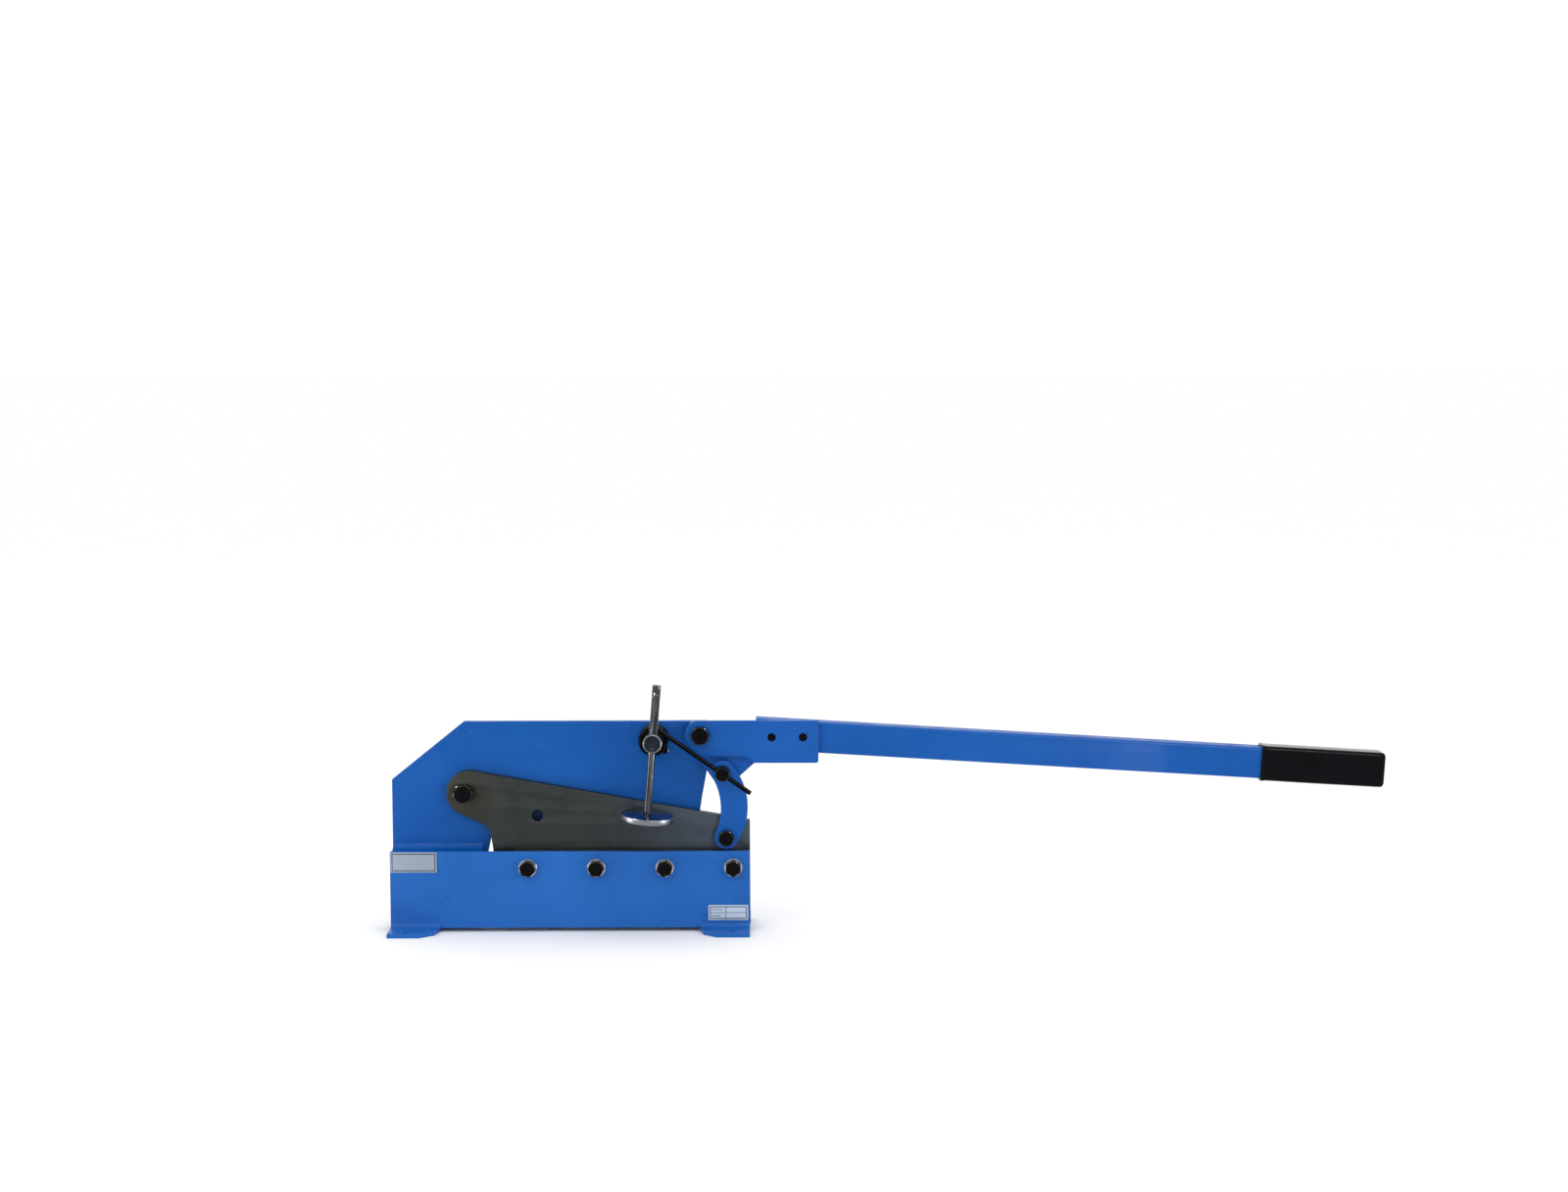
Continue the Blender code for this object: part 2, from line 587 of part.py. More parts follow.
hang(plate("link_plate", link_outline(),
           [ring(LINK_TOP, 6.35, 20), ring(LINK_BOTTOM, 5.35, 20)],
           LINK_Y0, LINK_Y1, LINK_TOP), link_axis, BLUE)
hang(bolt("link_bolt", LINK_BOTTOM, 19.0, -19.7, -10.7, 5.0, 25.0, 0.2), link_axis, BLACK)
hang(collar("link_washer", LINK_BOTTOM, 14.5, 5.4, 12.5, 14.5), link_axis, ZINC)
hang(collar("link_nut", LINK_BOTTOM, hex_r(17.0), 5.35, 14.8, 22.8, 6, 0.2), link_axis, BLACK)

# ---------------------------------------------------------------- spring
# The wire leaves its anchor hole, runs round the post clockwise as seen by the
# operator, and its last turn ends in the long leg that lifts the lever.
anchor_dir = math.atan2(TAIL[1] - POST[1], TAIL[0] - POST[0])
anchor_dist = math.hypot(TAIL[0] - POST[0], TAIL[1] - POST[1])
a_start = anchor_dir - math.acos(COIL_R / anchor_dist)
back_y, coil_end_y = FRAME_Y0 - 0.35 - WIRE_R, LEG_Y + 2 * WIRE_R + 0.8
turns = 3.6
count = int(turns * 18)
coil = [(TAIL[0], FRAME_Y0 + 7.0, TAIL[1]), (TAIL[0], back_y + 1.9, TAIL[1]),
        (TAIL[0] - 1.7, back_y, TAIL[1] + 0.1)]
for i in range(count + 1):
    t = i / count
    a = a_start - 2 * math.pi * turns * t
    ramp = t if t > 0.0 else 0.0
    coil.append((POST[0] + COIL_R * math.cos(a), back_y + (coil_end_y - back_y) * ramp,
                 POST[1] + COIL_R * math.sin(a)))
link_part(tube_path("spring_coil", coil, WIRE_R), BLACK)

leg_axis = pivot_empty("leg_axis", POST)
vx, vz = LINK_TOP[0] - POST[0], LINK_TOP[1] - POST[1]
reach = math.hypot(vx, vz)
leg_angle = math.atan2(vz, vx) - math.asin(COIL_R / reach)
leave = leg_angle + math.pi / 2
leg = []
for i in range(13):
    a = leave + math.radians(300.0) * (1 - i / 12)
    leg.append((POST[0] + COIL_R * math.cos(a), LEG_Y, POST[1] + COIL_R * math.sin(a)))
leg_len = math.sqrt(reach * reach - COIL_R * COIL_R) + 44.0
for s in (0.25, 0.5, 0.75, 1.0):
    leg.append((POST[0] + COIL_R * math.cos(leave) + s * leg_len * math.cos(leg_angle), LEG_Y,
                POST[1] + COIL_R * math.sin(leave) + s * leg_len * math.sin(leg_angle)))
hang(tube_path("spring_leg", leg, WIRE_R), leg_axis, BLACK)

# The stud at the top of the link has a drilled head that the leg slides in.
eye_axis = pivot_empty("eye_axis", LINK_TOP)
eye = rod_y("spring_eye", LINK_TOP, 6.0, -12.0, 22.0, 20)
boolean(eye, rod_y("eye_head", LINK_TOP, 9.4, -30.5, -10.8, 24), 'UNION')
bpy.ops.mesh.primitive_cylinder_add(vertices=16, radius=4.0 * MM, depth=0.04)
drill = bpy.context.active_object
drill.location = (LINK_TOP[0] * MM, LEG_Y * MM, LINK_TOP[1] * MM)
drill.rotation_euler = (0.0, math.pi / 2 - leg_angle, 0.0)
cut(eye, drill)
hang(smooth(eye), eye_axis, BLACK)
hang(collar("spring_eye_nut", LINK_TOP, hex_r(18.0), 6.3, 12.5, 20.5, 6, 0.4), eye_axis, BLACK)

# ---------------------------------------------------------------- hold-down
post_axis = pivot_empty("post_axis", POST)
post = rod_y("hold_down_post", POST, 8.0, 5.0, 48.0, 24)
boolean(post, rod_y("post_body", POST, 12.0, ROD_Y - 11.0, FRAME_Y0 - 0.3, 28), 'UNION')
bpy.ops.mesh.primitive_cylinder_add(vertices=20, radius=(THREAD_R + 0.35) * MM, depth=0.06)
cross = bpy.context.active_object
cross.location = (POST[0] * MM, ROD_Y * MM, POST[1] * MM)
cross.rotation_euler = (0.0, ROD_TILT, 0.0)
cut(post, cross)
hang(smooth(post), post_axis, ZINC)
hang(collar("hold_down_post_washer", POST, 15.0, 8.35, 24.8, 27.3), post_axis, ZINC)
hang(collar("hold_down_post_nut", POST, hex_r(24.0), 8.3, 27.6, 38.6, 6, 0.5), post_axis, BLACK)

rod_axis = pivot_empty("rod_axis", POST)


def on_rod(ob, s0, s1):
    """Stand a Z cylinder on the hold-down's axis from s0 to s1 above the post."""
    s = 0.5 * (s0 + s1)
    ob.location = ((POST[0] + s * math.sin(ROD_TILT)) * MM, ROD_Y * MM,
                   (POST[1] + s * math.cos(ROD_TILT)) * MM)
    ob.rotation_euler = (0.0, ROD_TILT, 0.0)
    return ob


def on_rod_point(s):
    """Shop X, Z of the point at s above the post's axis, along the rod."""
    return POST[0] + s * math.sin(ROD_TILT), POST[1] + s * math.cos(ROD_TILT)


seat = -PAD_TOP - PAD_SEAT
bpy.ops.mesh.primitive_cylinder_add(vertices=20, radius=ROD_R * MM,
                                    depth=(THREAD_FROM + 2.0 - seat - 1.0) * MM)
rod = on_rod(bpy.context.active_object, seat + 1.0, THREAD_FROM + 2.0)
rod.name = "hold_down_rod"
bpy.ops.mesh.primitive_cylinder_add(vertices=20, radius=THREAD_R * MM,
                                    depth=(ROD_TOP - THREAD_FROM) * MM)
boolean(rod, on_rod(bpy.context.active_object, THREAD_FROM, ROD_TOP), 'UNION')
hang(smooth(rod), rod_axis, ZINC)

# The pad is square to the rod along the blades, and its front side is a little low.
pad_x, pad_z = on_rod_point(-PAD_TOP)
lean = Euler(PAD_LEAN).to_matrix()
middle = Vector((pad_x, ROD_Y, pad_z)) - lean @ Vector((0.0, 0.0, 0.5 * PAD_T))
bpy.ops.mesh.primitive_cylinder_add(vertices=40, radius=PAD_R * MM, depth=PAD_T * MM,
                                    location=middle * MM, rotation=PAD_LEAN)
pad = bpy.context.active_object
pad.name = "hold_down_pad"
bpy.ops.mesh.primitive_cylinder_add(vertices=20, radius=(ROD_R + 0.4) * MM, depth=13.5 * MM)
socket = on_rod(bpy.context.active_object, seat, seat + 13.5)
cut(pad, socket)
hang(smooth(pad), rod_axis, ZINC)

# Each cutter rides with the piece that it cuts.
bpy.context.view_layer.update()
for host, tool in cuts:
    place = tool.matrix_world.copy()
    tool.parent = host.parent
    shift = Vector((0.0, 0.0, 0.0)) if host.parent is root else host.parent.location
    tool.matrix_local = Matrix.Translation(-Vector(shift)) @ place
bpy.context.view_layer.update()
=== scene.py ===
"""Looks of the bench plate shear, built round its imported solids.

Shop frame: X to the right along the blades, Y away from the operator, Z up,
in millimetres. world() turns a shop point into the model's own metres.
"""
import math

import bmesh
import bpy
from mathutils import Euler, Matrix, Vector

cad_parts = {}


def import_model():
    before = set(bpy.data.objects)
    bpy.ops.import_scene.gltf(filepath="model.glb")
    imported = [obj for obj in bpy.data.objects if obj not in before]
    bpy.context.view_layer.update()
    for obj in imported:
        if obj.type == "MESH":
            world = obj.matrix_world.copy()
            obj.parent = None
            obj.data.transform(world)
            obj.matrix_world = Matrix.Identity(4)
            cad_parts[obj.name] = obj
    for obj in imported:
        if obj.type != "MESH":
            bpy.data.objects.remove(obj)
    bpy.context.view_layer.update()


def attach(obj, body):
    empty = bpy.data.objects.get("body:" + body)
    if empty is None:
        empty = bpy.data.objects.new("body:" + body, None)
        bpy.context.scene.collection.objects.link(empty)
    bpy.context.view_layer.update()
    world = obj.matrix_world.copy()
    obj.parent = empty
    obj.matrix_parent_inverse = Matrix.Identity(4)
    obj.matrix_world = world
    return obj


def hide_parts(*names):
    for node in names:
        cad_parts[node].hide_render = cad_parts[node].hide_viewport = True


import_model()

MM = 0.001
ORIGIN_X, ORIGIN_Y = 641.41, -4.8

# ---------------------------------------------------------------- dimensions
LENGTH = 463.0
GAP = 0.15
FRONT_Y0, FRONT_Y1 = -18.3, -12.3
LOWER_Y0, LOWER_Y1 = -12.0, -GAP
UPPER_Y0, UPPER_Y1 = GAP, 12.15
FRAME_Y0, FRAME_Y1 = 12.5, 24.5
ARM_FRONT_Y0, ARM_FRONT_Y1 = -8.2, -0.2
ARM_REAR_Y0, ARM_REAR_Y1 = 30.3, 38.3
LINK_Y0, LINK_Y1 = -10.4, -0.4
TABLE_Z, SKIRT_Z, BEAM_Z, FRAME_TOP = 104.3, 5.0, 95.0, 268.7
BLADE_PIVOT = (94.0, 177.5)
BLADE_HOLE = (189.0, 148.0)
LEVER_PIVOT = (399.6, 253.1)
LINK_TOP = (428.3, 205.4)
LINK_BOTTOM = (432.7, 120.4)
POST = (340.0, 247.8)
FOOT_BEND, FOOT_REACH, FOOT_JOIN = 6.0, 38.0, 22.0
FOOT_LEFT, FOOT_RIGHT = 63.5, 399.0
FOOT_HOLE_LEFT, FOOT_HOLE_RIGHT, FOOT_HOLE_OUT = 25.0, 440.0, 24.0
BOLT_Z, BOLT_X0, BOLT_PITCH = 83.0, 177.3, 88.1
LOWER_BLADE_X0, LOWER_BLADE_Z0 = 157.7, 62.0
TUBE_START, TUBE_ANGLE = (470.0, 253.3), math.radians(-3.5)
TUBE_H, TUBE_W, TUBE_WALL, TUBE_R = 40.0, 29.7, 2.5, 3.5
TUBE_Y, TUBE_LEN = 15.15, 793.0
GRIP_FROM, GRIP_LEN, GRIP_H, GRIP_W = 653.0, 160.0, 45.0, 35.0
PIN_XZ = ((491.4, 250.2), (531.6, 250.2))
PIN_R, HUB_R = 5.0, 19.5
WIRE_R, COIL_R, LEG_Y, TAIL = 3.0, 16.0, -23.5, (354.5, 230.3)
ROD_Y, ROD_TILT = -38.0, math.radians(4.6)
ROD_R, THREAD_R, THREAD_FROM = 4.75, 5.8, -14.0
PAD_R, PAD_T, PAD_TOP, PAD_SEAT, ROD_TOP = 34.1, 7.5, 92.1, 3.5, 74.4
PAD_LEAN = Euler((math.radians(3.2), ROD_TILT, 0.0))


# ---------------------------------------------------------------- mesh helpers
def world(x, y, z):
    return Vector(((x - ORIGIN_X) * MM, (y - ORIGIN_Y) * MM, z * MM))


def add(name, mesh, angle=32.0):
    ob = bpy.data.objects.new(name, mesh)
    bpy.context.scene.collection.objects.link(ob)
    mesh.shade_smooth()
    mesh.set_sharp_from_angle(angle=math.radians(angle))
    return ob


def from_bm(name, bm, angle=32.0):
    bmesh.ops.recalc_face_normals(bm, faces=bm.faces)
    mesh = bpy.data.meshes.new(name)
    bm.to_mesh(mesh)
    bm.free()
    return add(name, mesh, angle)


def evaluated(ob):
    bpy.context.view_layer.update()
    return bpy.data.meshes.new_from_object(
        ob.evaluated_get(bpy.context.evaluated_depsgraph_get()))


def drop(ob):
    bpy.data.objects.remove(ob, do_unlink=True)


def boolean(ob, other, operation, solver='EXACT', angle=32.0):
    mod = ob.modifiers.new("b", 'BOOLEAN')
    mod.operation, mod.solver, mod.object = operation, solver, other
    mesh = evaluated(ob)
    ob.modifiers.clear()
    ob.data = mesh
    drop(other)
    mesh.shade_smooth()
    mesh.set_sharp_from_angle(angle=math.radians(angle))
    return ob


def ring(centre, radius, count=64, start=0.0, sweep=2 * math.pi):
    full = abs(abs(sweep) - 2 * math.pi) < 1e-9
    steps = count if full else count - 1
    return [(centre[0] + radius * math.cos(start + sweep * i / steps),
             centre[1] + radius * math.sin(start + sweep * i / steps))
            for i in range(count)]


def soften(points, radii, steps=6):
    """Round the corners of a closed outline; radii maps a corner's number to its radius."""
    out, n = [], len(points)
    for i, p in enumerate(points):
        r = radii.get(i, 0.0)
        if not r:
            out.append(p)
            continue
        a, b = Vector(points[i - 1]) - Vector(p), Vector(points[(i + 1) % n]) - Vector(p)
        half = 0.5 * a.angle(b)
        cut = min(r / math.tan(half), 0.45 * a.length, 0.45 * b.length)
        start, end = Vector(p) + a.normalized() * cut, Vector(p) + b.normalized() * cut
        for k in range(steps + 1):
            t = k / steps
            q = (1 - t) ** 2 * start + 2 * t * (1 - t) * Vector(p) + t * t * end
            out.append((q.x, q.y))
    return out


def slab(name, outline, holes, half, bevel, place, res=2, angle=32.0):
    """A flat outline with rounded edges, of thickness 2 * half, put in place by a matrix."""
    data = bpy.data.curves.new(name, 'CURVE')
    data.dimensions = '2D'
    data.fill_mode = 'BOTH'
    data.extrude = (half - bevel) * MM
    data.bevel_depth = bevel * MM
    data.bevel_resolution = res
    data.offset = -bevel * MM
    for loop in [outline] + list(holes):
        spline = data.splines.new('POLY')
        spline.points.add(len(loop) - 1)
        for point, (u, v) in zip(spline.points, loop):
            point.co = (u * MM, v * MM, 0.0, 1.0)
        spline.use_cyclic_u = True
    curve = bpy.data.objects.new(name, data)
    bpy.context.scene.collection.objects.link(curve)
    mesh = evaluated(curve)
    drop(curve)
    bpy.data.curves.remove(data)
    bm = bmesh.new()
    bm.from_mesh(mesh)
    bpy.data.meshes.remove(mesh)
    bmesh.ops.remove_doubles(bm, verts=bm.verts, dist=1e-6)
    bmesh.ops.transform(bm, matrix=place, verts=bm.verts)
    return from_bm(name, bm, angle)


def plate(name, outline, holes, y0, y1, bevel=0.6, res=2):
    """A plate in the XZ plane from y0 to y1."""
    mid = world(0, 0.5 * (y0 + y1), 0)
    return slab(name, outline, holes, 0.5 * (y1 - y0), bevel,
                Matrix(((1, 0, 0, mid.x), (0, 0, -1, mid.y), (0, 1, 0, mid.z), (0, 0, 0, 1))), res)


def along_x(name, loop_yz, x0, x1, bevel=0.5):
    mid = world(0.5 * (x0 + x1), 0, 0)
    return slab(name, loop_yz, [], 0.5 * (x1 - x0), bevel,
                Matrix(((0, 0, 1, mid.x), (1, 0, 0, mid.y), (0, 1, 0, mid.z), (0, 0, 0, 1))))


def axis_y(x, z):
    """Local Z, the turning axis, becomes shop Y through the point x, z."""
    at = world(x, 0, z)
    return Matrix(((1, 0, 0, at.x), (0, 0, 1, at.y), (0, -1, 0, at.z), (0, 0, 0, 1)))


def turned(name, profile, place, segments=48, closed=False, angle=32.0):
    """Turn a profile of (radius, height) about local Z; closed joins its last point to its first."""
    bm = bmesh.new()
    rows = []
    for r, h in profile:
        if r < 1e-6:
            rows.append([bm.verts.new((0.0, 0.0, h * MM))])
        else:
            rows.append([bm.verts.new((r * MM * math.cos(2 * math.pi * k / segments),
                                       r * MM * math.sin(2 * math.pi * k / segments), h * MM))
                         for k in range(segments)])
    pairs = list(zip(rows, rows[1:])) + ([(rows[-1], rows[0])] if closed else [])
    for a, b in pairs:
        for k in range(segments):
            m = (k + 1) % segments
            if len(a) == 1:
                bm.faces.new((a[0], b[k], b[m]))
            elif len(b) == 1:
                bm.faces.new((a[k], b[0], a[m]))
            else:
                bm.faces.new((a[k], b[k], b[m], a[m]))
    bmesh.ops.transform(bm, matrix=place, verts=bm.verts)
    return from_bm(name, bm, angle)


def hexagon(name, centre, flats, y0, y1, spin, front=True, back=False, bore=0.0):
    """A hexagon head or nut with its corners turned off on the chosen sides."""
    corner = flats / math.sqrt(3.0)
    outline = [(corner * math.cos(spin + i * math.pi / 3), corner * math.sin(spin + i * math.pi / 3))
               for i in range(6)]
    outline = [(centre[0] + a, centre[1] + b) for a, b in outline]
    body = plate(name, soften(outline, {i: 0.5 for i in range(6)}, 3), [], y0, y1, 0.15, 1)
    wide, flat_r = corner + 0.6, 0.47 * flats
    drop_y = (wide - flat_r) * math.tan(math.radians(28))
    prof = [(0.0, y0)] + ([(flat_r, y0), (wide, y0 + drop_y)] if front else [(wide, y0)])
    prof += ([(wide, y1 - drop_y), (flat_r, y1)] if back else [(wide, y1)]) + [(0.0, y1)]
    prof = [(r, y + (-0.3 if y == y0 and not front else 0.3 if y == y1 and not back else 0.0))
            for r, y in prof]
    boolean(body, turned(name + "_t", prof, axis_y(*centre), 72), 'INTERSECT')
    if bore:
        tool = turned(name + "_b", [(0, y0 - 2), (bore + 1.2, y0 - 2), (bore + 1.2, y0), (bore, y0 + 1.2),
                                    (bore, y1 - 1.2), (bore + 1.2, y1), (bore + 1.2, y1 + 2),
                                    (0, y1 + 2)], axis_y(*centre), 40)
        boolean(body, tool, 'DIFFERENCE')
    return body


def shank_profile(radius, y0, y1, thread=0.0, pitch=2.0):
    """Side of a bolt from y0 to y1, with V grooves over its last stretch."""
    prof = [(0.0, y0), (radius, y0)]
    if thread:
        y, depth = y1 - thread, 0.55 * pitch * 0.6
        while y < y1 - 1.2 - pitch:
            prof += [(radius, y), (radius - depth, y + 0.5 * pitch)]
            y += pitch
        prof.append((radius, y))
    return prof + [(radius, y1 - 1.0), (radius - 1.0, y1), (0.0, y1)]


def bolt(name, centre, flats, y_head0, y_head1, radius, y_end, spin=0.0, thread=0.0, pitch=2.0):
    head = hexagon(name, centre, flats, y_head0, y_head1, spin)
    shank = turned(name + "_s", shank_profile(radius, y_head1 - 1.0, y_end, thread, pitch),
                   axis_y(*centre), 40)
    return boolean(head, shank, 'UNION')


def shiny_edge(ob, y_front):
    """The turned chamfer round a head's face is smoother than the rest of the black finish."""
    ob.data.materials.append(OXIDE_EDGE)
    behind = world(0, y_front + 4.0, 0).y
    for face in ob.data.polygons:
        if -0.985 < face.normal.y < -0.5 and face.center.y < behind:
            face.material_index = 1


def washer(name, centre, r_out, r_in, y0, y1):
    e = 0.3
    prof = [(r_in, y0 + e), (r_in + e, y0), (r_out - e, y0), (r_out, y0 + e),
            (r_out, y1 - e), (r_out - e, y1), (r_in + e, y1), (r_in, y1 - e)]
    return turned(name, prof, axis_y(*centre), 56, closed=True)


def wire(name, points, radius, resolution=5):
    data = bpy.data.curves.new(name, 'CURVE')
    data.dimensions = '3D'
    data.bevel_depth = radius * MM
    data.bevel_resolution = resolution
    data.use_fill_caps = True
    spline = data.splines.new('POLY')
    spline.points.add(len(points) - 1)
    for point, co in zip(spline.points, points):
        point.co = (*world(*co), 1.0)
    curve = bpy.data.objects.new(name, data)
    bpy.context.scene.collection.objects.link(curve)
    mesh = evaluated(curve)
    drop(curve)
    bpy.data.curves.remove(data)
    bm = bmesh.new()
    bm.from_mesh(mesh)
    bpy.data.meshes.remove(mesh)
    bmesh.ops.remove_doubles(bm, verts=bm.verts, dist=1e-6)
    return from_bm(name, bm, 50.0)


def loft(name, stations, angle=32.0):
    """Skin closed rings of equal count; the first and last are closed with caps."""
    bm = bmesh.new()
    rows = [[bm.verts.new(p) for p in station] for station in stations]
    n = len(rows[0])
    for a, b in zip(rows, rows[1:]):
        for k in range(n):
            bm.faces.new((a[k], b[k], b[(k + 1) % n], a[(k + 1) % n]))
    bm.faces.new(rows[0])
    bm.faces.new(rows[-1][::-1])
    return from_bm(name, bm, angle)


# ---------------------------------------------------------------- materials
class Look:
    """A node material with a few shorthand makers for its nodes."""

    def __init__(self, name, color, rough, metal):
        self.mat = bpy.data.materials.new(name)
        self.mat.use_nodes = True
        self.tree = self.mat.node_tree
        self.bsdf = self.tree.nodes["Principled BSDF"]
        self.bsdf.inputs["Base Color"].default_value = (*color, 1.0)
        self.bsdf.inputs["Roughness"].default_value = rough
        self.bsdf.inputs["Metallic"].default_value = metal
        self.coord = self.tree.nodes.new("ShaderNodeTexCoord").outputs["Object"]

    def link(self, a, b):
        self.tree.links.new(a, b)

    def noise(self, scale, detail=3.0, rough=0.5, stretch=None, distortion=0.0, turn=0.0):
        coord = self.coord
        if turn:
            node = self.tree.nodes.new("ShaderNodeMapping")
            node.inputs["Rotation"].default_value = (0.0, turn, 0.0)
            self.link(coord, node.inputs["Vector"])
            coord = node.outputs["Vector"]
        if stretch:
            node = self.tree.nodes.new("ShaderNodeMapping")
            node.inputs["Scale"].default_value = stretch
            self.link(coord, node.inputs["Vector"])
            coord = node.outputs["Vector"]
        node = self.tree.nodes.new("ShaderNodeTexNoise")
        node.inputs["Scale"].default_value = scale
        node.inputs["Detail"].default_value = detail
        node.inputs["Roughness"].default_value = rough
        node.inputs["Distortion"].default_value = distortion
        self.link(coord, node.inputs["Vector"])
        return node.outputs["Fac"]

    def ramp(self, value, low, high, to_low=0.0, to_high=1.0):
        node = self.tree.nodes.new("ShaderNodeMapRange")
        node.inputs["From Min"].default_value = low
        node.inputs["From Max"].default_value = high
        node.inputs["To Min"].default_value = to_low
        node.inputs["To Max"].default_value = to_high
        self.link(value, node.inputs["Value"])
        return node.outputs["Result"]

    def math(self, op, a, b=0.0):
        node = self.tree.nodes.new("ShaderNodeMath")
        node.operation = op
        for i, v in enumerate((a, b)):
            if isinstance(v, (int, float)):
                node.inputs[i].default_value = v
            else:
                self.link(v, node.inputs[i])
        return node.outputs[0]

    def mix(self, fac, a, b):
        node = self.tree.nodes.new("ShaderNodeMix")
        node.data_type = 'RGBA'
        if isinstance(fac, (int, float)):
            node.inputs["Factor"].default_value = fac
        else:
            self.link(fac, node.inputs["Factor"])
        ins = [s for s in node.inputs if s.type == 'RGBA']
        for socket, v in zip(ins, (a, b)):
            if isinstance(v, tuple):
                socket.default_value = (*v, 1.0)
            else:
                self.link(v, socket)
        return [s for s in node.outputs if s.type == 'RGBA'][0]

    def axis(self, which):
        node = self.tree.nodes.new("ShaderNodeSeparateXYZ")
        self.link(self.coord, node.inputs[0])
        return node.outputs[which]

    def distance(self, point):
        node = self.tree.nodes.new("ShaderNodeVectorMath")
        node.operation = 'DISTANCE'
        self.link(self.coord, node.inputs[0])
        node.inputs[1].default_value = point
        return node.outputs["Value"]

    def bump(self, height, strength, distance):
        node = self.tree.nodes.new("ShaderNodeBump")
        node.inputs["Strength"].default_value = strength
        node.inputs["Distance"].default_value = distance
        self.link(height, node.inputs["Height"])
        self.link(node.outputs["Normal"], self.bsdf.inputs["Normal"])

    def color(self, value):
        self.link(value, self.bsdf.inputs["Base Color"])

    def rough(self, value):
        self.link(value, self.bsdf.inputs["Roughness"])


def paint(name, deep, bright, lift=0.0, painted_shade_at=None):
    look = Look(name, bright, 0.35, 0.0)
    broad = look.ramp(look.noise(6.0, 3.0, 0.55), 0.32, 0.68)
    tone = look.mix(broad, deep, bright)
    scuff = look.ramp(look.noise(38.0, 5.0, 0.65, (1.0, 1.0, 2.6)), 0.60, 0.80)
    tone = look.mix(look.math('MULTIPLY', scuff, 0.10), tone, (0.10, 0.27, 0.66))
    grime = look.ramp(look.noise(15.0, 6.0, 0.7), 0.57, 0.80)
    tone = look.mix(look.math('MULTIPLY', grime, 0.30), tone, (0.012, 0.04, 0.14))
    speck = look.ramp(look.noise(420.0, 2.0, 0.4), 0.72, 0.76)
    tone = look.mix(look.math('MULTIPLY', speck, 0.25), tone, (0.16, 0.32, 0.66))
    # Painted shade: the plate is darkened round the given point, the spot behind the upper blade's hole that lies in
    # its shadow.
    if painted_shade_at:
        near = look.ramp(look.math('ADD', look.distance(painted_shade_at), look.math('MULTIPLY', look.noise(60.0, 3.0), 0.006)),
                         0.0175, 0.0125)
        tone = look.mix(look.math('MULTIPLY', near, 0.86), tone, (0.0012, 0.009, 0.050))
    look.color(tone)
    rough = look.ramp(look.noise(55.0, 3.0, 0.6), 0.3, 0.7, 0.27 + lift, 0.42 + lift)
    look.rough(look.math('ADD', rough, look.math('MULTIPLY', grime, 0.14)))
    peel = look.math('ADD', look.noise(520.0, 2.0, 0.5),
                     look.math('MULTIPLY', look.noise(110.0, 2.0, 0.5), 1.4))
    look.bump(peel, 0.10, 0.0004)
    look.bsdf.inputs["Specular IOR Level"].default_value = 0.11
    return look.mat


def blade_steel(name, stretch=(3.0, 40.0, 90.0), painted_shade_below=None, stain=None, tone=1.0, cool_from=None):
    look = Look(name, (0.1, 0.105, 0.1), 0.45, 0.75)
    base = look.mix(look.ramp(look.noise(9.0, 5.0, 0.65, None, 0.8), 0.30, 0.72),
                    (0.012 * tone, 0.017 * tone, 0.018 * tone),
                    (0.030 * tone, 0.034 * tone, 0.033 * tone))
    if cool_from:
        right = look.ramp(look.math('ADD', look.axis(0), look.math('MULTIPLY', look.noise(12.0, 4.0), 0.12)),
                          cool_from + 0.02, cool_from + 0.18)
        base = look.mix(look.math('MULTIPLY', right, 0.75), base, (0.060, 0.080, 0.115))
    fine = look.ramp(look.noise(14.0, 4.0, 0.6, stretch), 0.35, 0.7)
    base = look.mix(look.math('MULTIPLY', fine, 0.30), base, (0.024, 0.029, 0.031))
    rusty = look.ramp(look.noise(16.0, 6.0, 0.72), 0.60, 0.78)
    base = look.mix(look.math('MULTIPLY', rusty, 0.35), base, (0.060, 0.050, 0.030))
    if stain:
        near = look.ramp(look.distance(stain), 0.058, 0.012)
        warm = look.math('MULTIPLY', near, look.ramp(look.noise(24.0, 4.0, 0.6), 0.25, 0.6, 0.35, 0.95))
        base = look.mix(warm, base, (0.025, 0.023, 0.014))
    # Painted shade: the blade darkens towards its lower edge, just above the lower blade, where it lies in shade.
    if painted_shade_below:
        low, high = painted_shade_below
        shade = look.ramp(look.math('ADD', look.axis(2),
                                    look.math('MULTIPLY', look.noise(20.0, 3.0), 0.008)), high, low)
        base = look.mix(look.math('MULTIPLY', shade, 0.80), base, (0.010, 0.013, 0.014))
    look.color(base)
    look.rough(look.ramp(look.noise(32.0, 5.0, 0.6, (1.0, 1.0, 3.0)), 0.3, 0.7, 0.36, 0.58))
    scratch = look.math('ADD', look.noise(30.0, 4.0, 0.6, stretch), look.noise(260.0, 3.0, 0.5))
    look.bump(scratch, 0.16, 0.0003)
    return look.mat


def oxide(name, color=(0.0045, 0.0045, 0.0055), low=0.22, high=0.42, metal=0.7, shine=0.12, grain=0.12):
    look = Look(name, color, 0.35, metal)
    tone = look.mix(look.ramp(look.noise(90.0, 4.0, 0.6), 0.35, 0.7), color,
                    tuple(c * 1.8 + 0.001 for c in color))
    worn = look.ramp(look.noise(240.0, 4.0, 0.7), 0.62, 0.74)
    look.color(look.mix(look.math('MULTIPLY', worn, 0.12), tone, (0.04, 0.036, 0.032)))
    look.bsdf.inputs["Specular IOR Level"].default_value = shine
    look.rough(look.ramp(look.noise(140.0, 3.0, 0.5), 0.3, 0.7, low, high))
    look.bump(look.noise(700.0, 3.0, 0.6), grain, 0.0002)
    return look.mat


